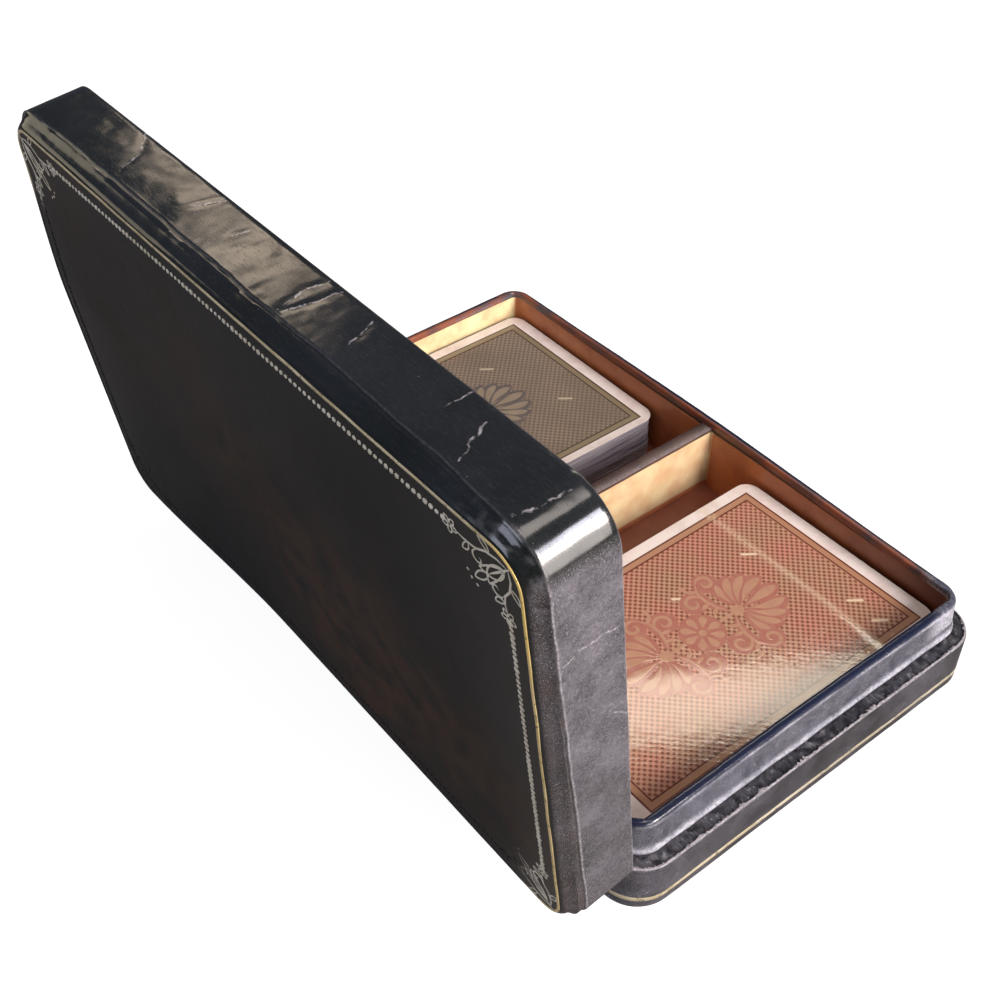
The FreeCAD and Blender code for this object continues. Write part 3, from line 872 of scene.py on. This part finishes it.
for step in np.linspace(0, 1, 8):
    flat = ledgeMid + (ledgeIn - ledgeMid) * step
    flat[:, 2] += 0.2 * tornLumps(flat) * (1 - step ** 4)
    loops.append(flat)
baseCover = makeMesh("baseCover", *loft(loops))
emboss(baseCover, lambda p: (0.05 * wave(p, 13, 1.0) + 0.03 * wave(p, 4, 2.0)) * (p[:, 2] < ledgeTop - 0.7))
spots = meshPoints(baseCover)
x, y, z = spots.T
# Distance in from the outline, right round the corners too
overEdge = np.minimum(halfLong - np.abs(x), halfWide - np.abs(y))
cornerX = np.maximum(np.abs(x) - (halfLong - caseCorner), 0)
cornerY = np.maximum(np.abs(y) - (halfWide - caseCorner), 0)
inCorner = (cornerX > 0) & (cornerY > 0)
overEdge[inCorner] = caseCorner - np.hypot(cornerX, cornerY)[inCorner]
fringe = bell(z - ledgeTop, 0.02, 0.14) * fade(overEdge, 0.12, 0.22)
sunk = (z < ledgeTop - 0.12) & (overEdge > 0.4) & (z > 2)
lumps = tornLumps(spots)
fringe = fringe * 1.1 + 0.45 * sunk * fade(lumps, 0.45, 0.8)
setField(baseCover, "wear", np.clip(fringe + 0.25 * bell(z, 0.2, 0.3), 0, 1))
setField(baseCover, "dust", 0.55 - 0.3 * fade(y, -45, -10) + 0.2 * wave(spots, 16.0, 2.0)
         + 0.2 * wave(spots, 4.0, 7.0))
# Painted shade in the ledge's sunk band, darkest in the low pits between the torn lumps
setField(baseCover, "shade", sunk * (0.15 + 0.8 * fade(-lumps, 0.0, 0.5)))
sinkHinge(baseCover, spots, z > ledgeTop - hingeRecess["high"])
finishPiece(baseCover, "base", "base_leather", baseLeather, "base_leather")

lowRing = roundedRing(baseSize.x, baseSize.y, caseCorner, (120, 72, 12))
half = baseShape["giltWidth"] / 2
middle = baseShape["giltLow"] + half
waver = wobble(lowRing, 12.0, 0.06)
baseGiltLine = makeMesh("baseGiltLine", *loft([
    level(lowRing, 0.03 - out * baseShape["giltRise"], middle + waver + half * up) for up, out in halfRound],
    closed=True))
setField(baseGiltLine, "fresh", 0.12 * fade(-meshPoints(baseGiltLine)[:, 1], -10, 35))
finishPiece(baseGiltLine, "base", "gilt", giltRubbed, "base_gilt_line")

# Crumbs of torn leather along the ledge, by Geometry Nodes
fringeSpec = {"Gap": 0.34 * mm, "Size": 0.2 * mm}
n = openGroup("tornFringe", fringeSpec)
keep = n.noise(n.add("GeometryNodeInputPosition"), 160.0, 2.0)
thin = n.add("FunctionNodeCompare", {"A": keep, "B": 0.51}, data_type="FLOAT", operation="LESS_THAN")
sparse = n.add("GeometryNodeDeleteGeometry", {"Geometry": alongEdges(n, "Gap").outputs["Points"],
                                              "Selection": thin}, domain="POINT")
crumb = n.add("GeometryNodeMeshIcoSphere", {"Radius": n.given["Size"], "Subdivisions": 2})
crumb = n.add("GeometryNodeTransform", {"Geometry": crumb, "Scale": (1.7, 1.0, 0.6)})
spin = chance(n, (-0.2, -0.2, 0.0), (0.2, 0.2, 6.283), 5)
crumbs = scatter(n, sparse, crumb, Rotation=spin, Scale=chance(n, 0.3, 1.35, 9))
edge = level(baseRing, 0.42 + tear * 0.95, ledgeTop - 0.2)
tornFringe = addMesh("tornFringe", edge, [(i, (i + 1) % len(edge)) for i in range(len(edge))], [])
fibre = paper("torn_leather_fibre", ("#a7a3a9", "#7c7880", "#d0ccd2"), rough=0.75, mottle=2.0, fibre=0.02)
runGroup(tornFringe, n, crumbs, fringeSpec, fibre)
finishPiece(tornFringe, "base", "base_leather", fibre)
print("base covered")

# Inner tray
trayShape = {"wall": 2.6, "wellCorner": 2.0, "bow": 0.45, "leather": 0.3, "spring": (0.35, 0.8)}
trayCounts = (170, 106, 10)
trayRing = roundedRing(traySize.x, traySize.y, trayCorner, trayCounts)
wellRing = roundedRing(traySize.x - 2 * trayShape["wall"], traySize.y - 2 * trayShape["wall"],
                       trayShape["wellCorner"], trayCounts)
endBow = trayShape["bow"] * arch(trayRing[:, 1], 46) ** 2 * (np.abs(trayRing[:, 2]) > 0.9)
foot = 1 + wobble(trayRing, 8.0, 0.5)
loops = levels(trayRing, (
    (0.05, -0.75), (-0.12 * foot, -0.2), (-0.34 * foot, 0.35), (-0.45 * foot, 0.8), (-0.40 * foot, 1.25),
    (-0.16 * foot, 1.7), (0.06, 2.15), (0.14, 2.7)), ledgeTop)
loops += levels(trayRing, ((inset + endBow * (1 + rise / 6), rise) for inset, rise in (
    (0.2, -5.4), (0.26, -4.6), (0.32, -3.8), (0.38, -3.0), (0.44, -2.3), (0.48, -1.6), (0.5, -1.1),
    (0.53, -0.85), (0.60, -0.62), (0.74, -0.38), (0.96, -0.18), (1.3, -0.05), (1.7, 0.0))), rimTop)
loops += levels(wellRing, ((inset + endBow * 0.7, rise) for inset, rise in (
    (-0.45, -0.02), (-0.2, -0.08), (-0.06, -0.22), (0.0, -0.45), (0.02, -0.8), (0.04, -1.2),
    (0.03, -1.62))), rimTop)
# The back's rim has sprung up and out a little along its middle
for loop in loops:
    spring = arch(loop[:, 0], 78) ** 2 * (loop[:, 1] > 30) * fade(loop[:, 2], ledgeTop + 3, rimTop - 1)
    loop[:, 1] += trayShape["spring"][0] * spring
    loop[:, 2] += trayShape["spring"][1] * spring
trayCover = makeMesh("trayCover", *loft(loops))
emboss(trayCover, lambda p: 0.06 * wave(p, 9, 4.0) + 0.04 * wave(p, 2.6, 1.0))
spots = meshPoints(trayCover)
x, y, z = spots.T
# The wear field here also carries painted highlights: a pale band along the bulge at the wall's foot and a pale blue
# line along the rim's outer edge; the back right corner's scuffs are wear
ridge = bell(z - ledgeTop, 1.15, 0.62) * (1.1 + 0.8 * wave(spots, 3, 3.0))
arrisHighlight = bell(z - rimTop, -0.95, 0.36) * (0.8 + 0.6 * wave(spots, 6, 2.0))
arrisHighlight *= fade(np.abs(x), halfLong - 7, halfLong - 5.5)
scuffed = 0.9 * fade(x + y, 113, 119) * (z > ledgeTop + 3)
setField(trayCover, "wear", np.clip(ridge + arrisHighlight + scuffed, 0, 1.2))
# Painted dark reflection: the rim's top and upper outer edge go navy through the shade field
rimDark = fade(z, rimTop - 1.4, rimTop - 0.7)
# The lining comes up over the inner half of the back and left rims
backIn = fade(traySize.y / 2 - y, 1.3, 1.7) * (y > 40)
leftIn = fade(traySize.x / 2 + x, 1.6, 2.0) * (x < -70)
backRim = np.clip(backIn + leftIn, 0, 1) * (z > rimTop - 2) * (1 - np.clip(scuffed, 0, 1))
setField(trayCover, "brown", backRim)
rubbed = (0.5 + 0.3 * wave(spots, 9.0, 2.0) + 0.4 * wave(spots, 2.2, 4.0)) * (1 - 0.95 * rimDark)
setField(trayCover, "dust", rubbed * (1 - 0.95 * backRim))
# Painted shade at the wall's foot, where it meets the ledge
footShade = 0.6 * (1 - fade(z, ledgeTop - 0.4, ledgeTop + 0.3))
# The shade field holds the rim's painted dark reflection, kept off the lining and the pale rim edge, and the foot's
# painted shade
rimShade = 0.88 * rimDark * (1 - backRim) * (1 - np.clip(arrisHighlight, 0, 1))
setField(trayCover, "shade", np.clip(rimShade + footShade, 0, 1))
thicken(trayCover, trayShape["leather"])
finishPiece(trayCover, "base", "tray_leather", trayLeather, "tray_leather")

# Leather cap on the divider
capHalf, capReach, capTop = (side / mm + more for side, more in zip(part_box("divider_leather")[1], (0.02, 0.25, 0)))
section = [(capHalf, capTop - 1.0), (capHalf, capTop - 0.5)]
section += [(capHalf - 0.5 + 0.5 * math.cos(a), capTop - 0.5 + 0.5 * math.sin(a)) for a in (0.4, 0.8, 1.2)]
section += [(0.5, capTop + 0.02), (-0.5, capTop + 0.02)]
section += [(-x, z) for x, z in section[4:0:-1]] + [(-capHalf, capTop - 1.0)]
points, faces = loft([np.array([(x, y, z) for x, z in section]) for y in np.linspace(-capReach, capReach, 220)])
faces += [tuple(range(len(section))), tuple(range(len(points) - len(section), len(points)))]
dividerCap = makeMesh("dividerCap", points, faces)
emboss(dividerCap, lambda p: 0.04 * wave(p, 6, 7.0) + 0.012 * wave(p, 1.6, 2.0))
spots = meshPoints(dividerCap)
setField(dividerCap, "wear", 0.5 * bell(spots[:, 0], 1.1, 0.5) * fade(spots[:, 2], capTop - 0.5, capTop - 0.1))
setField(dividerCap, "dust", np.full(len(spots), 0.08))
finishPiece(dividerCap, "base", "tray_leather", capLeather, "divider_leather")
print("tray covered")

# Hinge leather, one strip across the joint
hingeShape = {"half": 69.9, "onBase": 8.0, "onLid": 8.2, "thick": 0.5, "fold": 0.9, "sunk": 0.02}
thick, fold, sunk = (hingeShape[key] for key in ("thick", "fold", "sunk"))
away = np.array((-math.sin(openAngle), math.cos(openAngle)))      # up the open lid's back wall
inward = np.array((math.cos(openAngle), math.sin(openAngle)))      # from that wall into the lid
pivot = np.array((hingePoint.y, hingePoint.z))
reach = fold / math.tan((math.pi - openAngle) / 2)
outer = [pivot + (-sunk, -reach - d) for d in np.linspace(hingeShape["onBase"] - reach, 0.5, 9)]
inner = [point + (thick, 0) for point in outer]
centre = pivot + (-fold, -reach)
for angle in np.linspace(0, openAngle, 11):
    direction = np.array((math.cos(angle), math.sin(angle)))
    outer.append(centre + fold * direction)
    inner.append(centre + (fold + thick) * direction)
for d in np.linspace(reach + 0.5, hingeShape["onLid"], 9):
    outer.append(pivot + away * d - inward * sunk)
    inner.append(pivot + away * d + inward * (thick - sunk))
ring = np.array(outer + inner[::-1])
stations = np.linspace(-hingeShape["half"], hingeShape["half"], 141)
points, faces = loft([np.column_stack((np.full(len(ring), x), ring)) for x in stations])
for start in (0, len(ring) * (len(stations) - 1)):
    faces += [(start + i, start + i + 1, start + len(ring) - 2 - i, start + len(ring) - 1 - i)
              for i in range(len(outer) - 1)]
hingeStrip = makeMesh("hingeStrip", points, faces)


def nearFold(points, width):
    # 1 on the hinge's line, falling off round it
    return bell(np.hypot(points[:, 1] - pivot[0], points[:, 2] - pivot[1]), 0, width)


emboss(hingeStrip, lambda p: 0.03 * wave(p, 7, 3.0) + 0.03 * wave(p * (0.5, 2, 2), 1.5, 1.0) * nearFold(p, 1.6))
spots = meshPoints(hingeStrip)
setField(hingeStrip, "wear", 0.7 * nearFold(spots, 0.9))
setField(hingeStrip, "dust", 0.16 + 0.12 * wave(spots, 9.0, 2.0))
finishPiece(hingeStrip, "", "hinge_leather", lidLeather, "hinge_leather_base", "hinge_leather_lid")
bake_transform(hingeStrip)
print("hinge covered")

# Playing cards
cardWide, cardLong, cardCorner, packetSize = 58.0, 89.0, 3.8, 17
deckSpec = {"Width": cardWide * mm, "Length": cardLong * mm, "Corner": cardCorner * mm, "Thick": 0.205 * mm,
            "Pitch": 0.23 * mm, "Cards": 3 * packetSize, "Loose": 0.10 * mm, "Packet Shift": 0.30 * mm}
topCardShape = {"skew": 0.25, "gap": 0.02, "bow": 0.05, "ridge": 0.07, "ridgeWidth": 0.5, "margin": 3.2}


def cardTree(name, seed):
    # One card repeated up the deck, each a little out of line and each packet slid
    n = openGroup(name, deckSpec)
    oblong = n.add("GeometryNodeCurvePrimitiveQuadrilateral", {
        "Width": n.given["Width"], "Height": n.given["Length"]})
    rounded = n.add("GeometryNodeFilletCurve", {"Curve": oblong, "Count": 5, "Radius": n.given["Corner"]},
                    mode="POLY")
    sheet = n.add("GeometryNodeFillCurve", {"Curve": rounded}, mode="NGONS")
    body = n.add("GeometryNodeExtrudeMesh", {
        "Mesh": sheet, "Offset": n.add("ShaderNodeCombineXYZ", {"Z": n.given["Thick"]}), "Offset Scale": 1.0,
        "Individual": False}, mode="FACES")
    both = n.add("GeometryNodeJoinGeometry", {"Geometry": n.add("GeometryNodeFlipFaces", {"Mesh": sheet})})
    card = n.add("GeometryNodeMergeByDistance", {"Geometry": plug(both, {"Geometry": body}),
                                                 "Distance": 0.002 * mm})
    step = n.add("ShaderNodeCombineXYZ", {"Z": n.given["Pitch"]})
    places = n.add("GeometryNodeMeshLine", {"Count": n.given["Cards"], "Offset": step}, mode="OFFSET")
    packet = n.calc("FLOOR", n.calc("DIVIDE", n.add("GeometryNodeInputIndex"), float(packetSize)))
    ends = (-1, -1, 0), (1, 1, 0)
    loose = n.vector("SCALE", chance(n, *ends, seed), Scale=n.given["Loose"])
    slid = n.vector("SCALE", chance(n, *ends, seed + 1, ID=packet), Scale=n.given["Packet Shift"])
    moved = n.add("GeometryNodeSetPosition", {"Geometry": places, "Offset": n.vector("ADD", loose, slid)})
    return n, scatter(n, moved, card, Rotation=chance(n, (0, 0, -0.002), (0, 0, 0.002), seed + 2))


roseLook = {"pitch": 1.15, "panel": (26.5, 41.0), "off": 0.5, "ground": ("#bf8471", "#b08e72"), "dots": "#80503f",
            "band": "#a97e63", "rule": "#5e2b22", "border": ("#e4dad6", "#d2c3bd"), "bare": "#dcc6a8",
            "rough": (0.03, 0.10), "specular": 0.5}
oliveLook = dict(roseLook, ground=("#8b7c6c", "#7f7162"), dots="#6a5d51", band="#84755f", rule="#3f362b",
                 bare="#b5a78f")
roseInks = (ink("rose_ink", ("#a0665a", "#a87363"), (0.03, 0.10)),
            ink("buff_ink", ("#b58b71", "#ab8069"), (0.03, 0.10)))
oliveInks = (ink("slate_ink", ("#5c5553", "#665f5a"), (0.08, 0.18)),
             ink("drab_ink", ("#8f8170", "#857765"), (0.08, 0.18)))


def petalStrip(start, tip, width, bend=0.0):
    # A petal that is widest near its round tip
    steps = 16
    t = np.clip(np.linspace(0, 1, steps + 1), 0.02, 0.992)
    return (leafStrip(start, tip, width, bend, steps)[0],
            width / 2 * np.clip(np.sin(np.pi * t ** 1.9), 0, 1) ** 0.62)


def ornament():
    # Back ornament, the same both ways up: a rosette, scrolled stems and a fan palmette at each end
    ground, light = [discStrip((0, 0), 5.4, 28)], []
    for petal in range(8):
        turn = math.radians(45 * petal)
        away = np.array((math.cos(turn), math.sin(turn)))
        light.append(petalStrip(1.3 * away, 4.9 * away, 1.9))
    light.append(discStrip((0, 0), 0.9, 14))
    for up in (1, -1):
        fan = [(0, 11.8, 2.9, 0.0)]
        for side in (1, -1):
            fan += [(side * turn, reach, wide, -0.10 * side * up) for turn, reach, wide in (
                (20, 11.3, 2.7), (40, 10.6, 2.5), (60, 9.7, 2.3), (81, 8.6, 2.0))]
        root = np.array((0, 11.2 * up))
        for turn, reach, wide, bend in fan:
            away = np.array((math.sin(math.radians(turn)), up * math.cos(math.radians(turn))))
            ground.append(petalStrip(root + 0.8 * away, root + (reach + 0.9) * away, wide + 1.5, bend))
            light.append(petalStrip(root + 2.2 * away, root + reach * away, wide * 0.82, bend))
            ground.append(leafStrip(root + 4.6 * away, root + (reach - 1.2) * away, 0.5, bend))
        light.append(discStrip((0, 11.0 * up), 1.5, 18))
        light.append(strokeStrip([(0, 5.6 * up), (0, 7.6 * up), (0, 9.6 * up)], 1.1))
        for side in (1, -1):
            # Stem from the fan's foot out into two curls, with leaves on its back
            flip = np.array((side, up))
            stem = flip * ((0.8, 9.4), (3.2, 8.0), (6.2, 7.2), (9.2, 7.4), (11.6, 9.0))
            light.append(strokeStrip(stem, 0.85, 0.4))
            ground.append(strokeStrip(stem, 2.6, 0.4))
            for centre, size, start, turns in (((10.4, 11.0), 2.3, -65, 1.1), ((7.4, 4.6), 2.5, 100, -1.1)):
                light.append(strokeStrip(flip * curlPath(centre, size, start, turns), 0.85))
                ground.append(discStrip(flip * centre, size + 0.7, 20))
            for x, y, turn in ((3.4, 7.9, -120), (5.4, 7.4, -100), (9.6, 7.7, -60), (11.9, 6.6, -75)):
                tip = (x + 2.6 * math.cos(math.radians(turn)), y + 2.6 * math.sin(math.radians(turn)))
                light.append(leafStrip(flip * (x, y), flip * tip, 1.1))
    return ground, light


def spineOf(loop):
    # The card's middle line, under each point of a loop
    half = cardLong / 2 - cardWide / 2
    return np.column_stack((np.zeros(len(loop)), np.clip(loop[:, 1], -half, half), loop[:, 2]))


# Short scratches that show bare card, from each card's middle
oliveDashes = (-14.0, 22.0), (9.0, 30.5)
roseDashes = (14.4, 33.6), (21.8, 33.2), (-10.7, 25.8), (7.0, -3.9), (-10.5, 3.2), (-7.8, 14.1)
cardRing = roundedRing(cardWide, cardLong, cardCorner, (50, 76, 8))
# The right deck's top card has a crease across it, the left's has none
for side, name, pattern, look, inks, seed, crease, dashes in (
        (-1, "Left", "olive", oliveLook, oliveInks, 21, math.inf, oliveDashes),
        (1, "Right", "rose", roseLook, roseInks, 42, 28.0, roseDashes)):
    deck, topCard, cardSlot = "deck_" + name.lower(), "top_card_" + name.lower(), "card_back_" + pattern
    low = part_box(deck)[0] / mm
    topLow, topHigh = (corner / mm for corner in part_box(topCard))
    middle = (topLow + topHigh) / 2
    cards = addMesh("deck" + name + "Cards", [], [], [])
    runGroup(cards, *cardTree("deck" + name, seed), deckSpec, shadedCardSides)
    cards.data.transform(Matrix.Translation(Vector((middle.x, middle.y, low.z)) * mm))
    finishPiece(cards, deck, "card_edges", shadedCardSides, deck)

    turn = math.radians(topCardShape["skew"] * side)
    bottom, top = topLow.z + topCardShape["gap"], topHigh.z - topCardShape["gap"]

    def cardLift(flat):
        # A shallow bow across the card, and a ridge on its crease
        return (topCardShape["bow"] * arch(flat[:, 0], cardWide / 2)
                + topCardShape["ridge"] * bell(flat[:, 1], crease, topCardShape["ridgeWidth"]))

    loops = levels(cardRing, ((0.4, bottom), (0.03, bottom), (0.0, (bottom + top) / 2), (0.05, top)))
    edge, inner = loops[-1], level(cardRing, topCardShape["margin"], top)
    loops += [edge + (inner - edge) * t for t in (0.3, 1.0)]
    loops += [inner + (spineOf(inner) - inner) * t for t in np.linspace(0.06, 1, 22)]
    # The underside closes over the middle too
    points, faces = loft([spineOf(loops[0])] + loops)
    points[:, 2] += cardLift(points) * (points[:, 2] > top - 0.01)
    wear = 0.25 * fade(np.abs(points[:, 0]), 24.5, 28.8) * (points[:, 2] > top - 0.1)
    wear = wear + 0.62 * bell(points[:, 1], crease, 0.7)
    card = makeMesh("topCard" + name, points, faces, {"wear": wear})
    place = Matrix.Translation(Vector((middle.x, middle.y, 0)) * mm) @ Matrix.Rotation(turn, 4, "Z")
    printed = cardBack("varnished_card_" + name.lower(), (middle.x, middle.y), turn, look)
    lines = [[(x - 0.95, y - 1.25, top), (x + 0.95, y + 1.25, top)] for x, y in dashes]
    scratchLines(printed, lines, place, strength=1.2, colourCode=look["bare"], width=0.55, shakeBy=0.12, whole=0.75)
    finishPiece(card, deck, cardSlot, printed, topCard, place=place)
    for layer, (kind, strips, material) in enumerate(zip(("Ground", "Figure"), ornament(), inks)):
        low, high = top - 0.02 + 0.012 * layer, top + 0.008 + 0.02 * layer
        figure = makeMesh("card" + kind + name, *stripSolid(strips, low, high, cardLift))
        finishPiece(figure, deck, cardSlot, material, place=place)
print("cards laid")

# Parts that stay as they are get their materials
finishes = {"well_paper": wellPaper, "lid_paper": lidPaper, "pasteboard": pasteboard, "underside": undersideCloth}
slotOf = {part["node"]: part["material_slot"] for part in frame["record"]["subparts"]}
for name, node in frame["nodes"].items():
    if node.hide_render:
        continue
    material = shadedFloorPaper if name.startswith("floor_paper") else finishes[slotOf[name]]
    for holder in node.material_slots:
        holder.material = material
print("parts dressed")


# Floor, light and camera
def forCamera(n, output, around, seen):
    # The camera's own rays meet seen, all others meet around
    ray = n.add("ShaderNodeLightPath").outputs["Is Camera Ray"]
    n.add(output, {"Surface": n.add("ShaderNodeMixShader", {0: ray, 1: around, 2: seen})})


# Rolled board painted matt white, lit from behind where the camera looks at it
floorShape = {"half": 3000.0, "drop": 0.2, "glow": 0.90}
reach = floorShape["half"]
floor = addMesh("floor", [(-reach, -reach, 0), (reach, -reach, 0), (reach, reach, 0), (-reach, reach, 0)], [],
                [(0, 1, 2, 3)])
floor.location.z = -floorShape["drop"] * mm
floorPaint = bpy.data.materials.new("matt_white_board")
n = startTree(floorPaint)
glow = n.add("ShaderNodeEmission", {"Color": "#ffffff", "Strength": floorShape["glow"]})
pale = n.add("ShaderNodeBsdfDiffuse", {"Color": (0.3, 0.3, 0.3, 1)})
forCamera(n, "ShaderNodeOutputMaterial", n.add("ShaderNodeBsdfDiffuse", {"Color": "#6f6a66"}),
          n.add("ShaderNodeAddShader", {0: glow, 1: pale}))
floor.data.materials.append(floorPaint)

world = bpy.data.worlds.new("studio")
bpy.context.scene.world = world
n = startTree(world)
room, white = (n.add("ShaderNodeBackground", {"Color": code, "Strength": strength})
               for code, strength in (("#dfe8ff", 0.14), ("#ffffff", 1.0)))
forCamera(n, "ShaderNodeOutputWorld", room, white)

# Soft boxes: name, place and aim in millimetres, width and height, spin in degrees, watts, colour
softBoxes = [
    ("keyBox", (650, 180, 432), (20, 0, 40), (190, 190), 0, 5.9, "#fff3ea"),
    ("topBox", (170, 60, 820), (20, 20, 10), (260, 260), 0, 1.4, "#fff4ec"),
    ("cornerBox", (648, 212, 620), (73, -60, 100), (110, 150), 0, 1.3, "#f4f2ff"),
    ("sideBox", (800, 60, 240), (40, 0, 30), (500, 360), 0, 5.8, "#fff6f0"),
    ("ceilingBox", (-286, 447, 700), (-286, 447, 0), (290, 72), 58, 0.66, "#f8f0dc"),
    ("windowBox", (-692, 160, 654), (-692, 160, 0), (115, 90), -12, 0.17, "#ffe9cf"),
    ("paneBox", (-880, 214, 654), (-880, 214, 0), (150, 80), -12, 0.16, "#ffe9cf"),
    ("oliveBox", (-800, -420, 260), (0, -60, 90), (420, 300), 0, 0.75, "#efe2c4"),
    ("fillBox", (-150, -800, 330), (0, -60, 60), (500, 400), 0, 3.0, "#e6ecff"),
]
for name, place, aim, size, spin, watts, colour in softBoxes:
    lamp = bpy.data.lights.new(name, "AREA")
    lamp.shape = "RECTANGLE"
    lamp.size, lamp.size_y = size[0] * mm, size[1] * mm
    lamp.energy, lamp.color = watts, linear(colour)[:3]
    facing = (Vector(aim) - Vector(place)).to_track_quat("-Z", "Y").to_matrix()
    addObject(name, lamp).matrix_world = (Matrix.Translation(Vector(place) * mm)
                                          @ (facing @ Matrix.Rotation(math.radians(spin), 3, "Z")).to_4x4())

lens = bpy.data.cameras.new("view")
camera = addObject("view", lens)
cameraShape = {"place": (175.03, -158.613, 237.744), "lens": 49.44, "sensor": 36.0}
lens.sensor_fit, lens.sensor_width, lens.lens = "HORIZONTAL", cameraShape["sensor"], cameraShape["lens"]
lens.clip_start, lens.clip_end = 0.01, 20
right, down, forward = (Vector(v) for v in ((0.621657, 0.783287, -0.001861), (0.526252, -0.419418, -0.739694),
                                            (-0.580173, 0.458857, -0.672941)))
camera.matrix_world = Matrix.Translation(Vector(cameraShape["place"]) * mm) @ Matrix(
    (right, -down, -forward)).transposed().to_4x4()
bpy.context.scene.camera = camera
bpy.context.scene.view_settings.view_transform = "Standard"
print("lit")
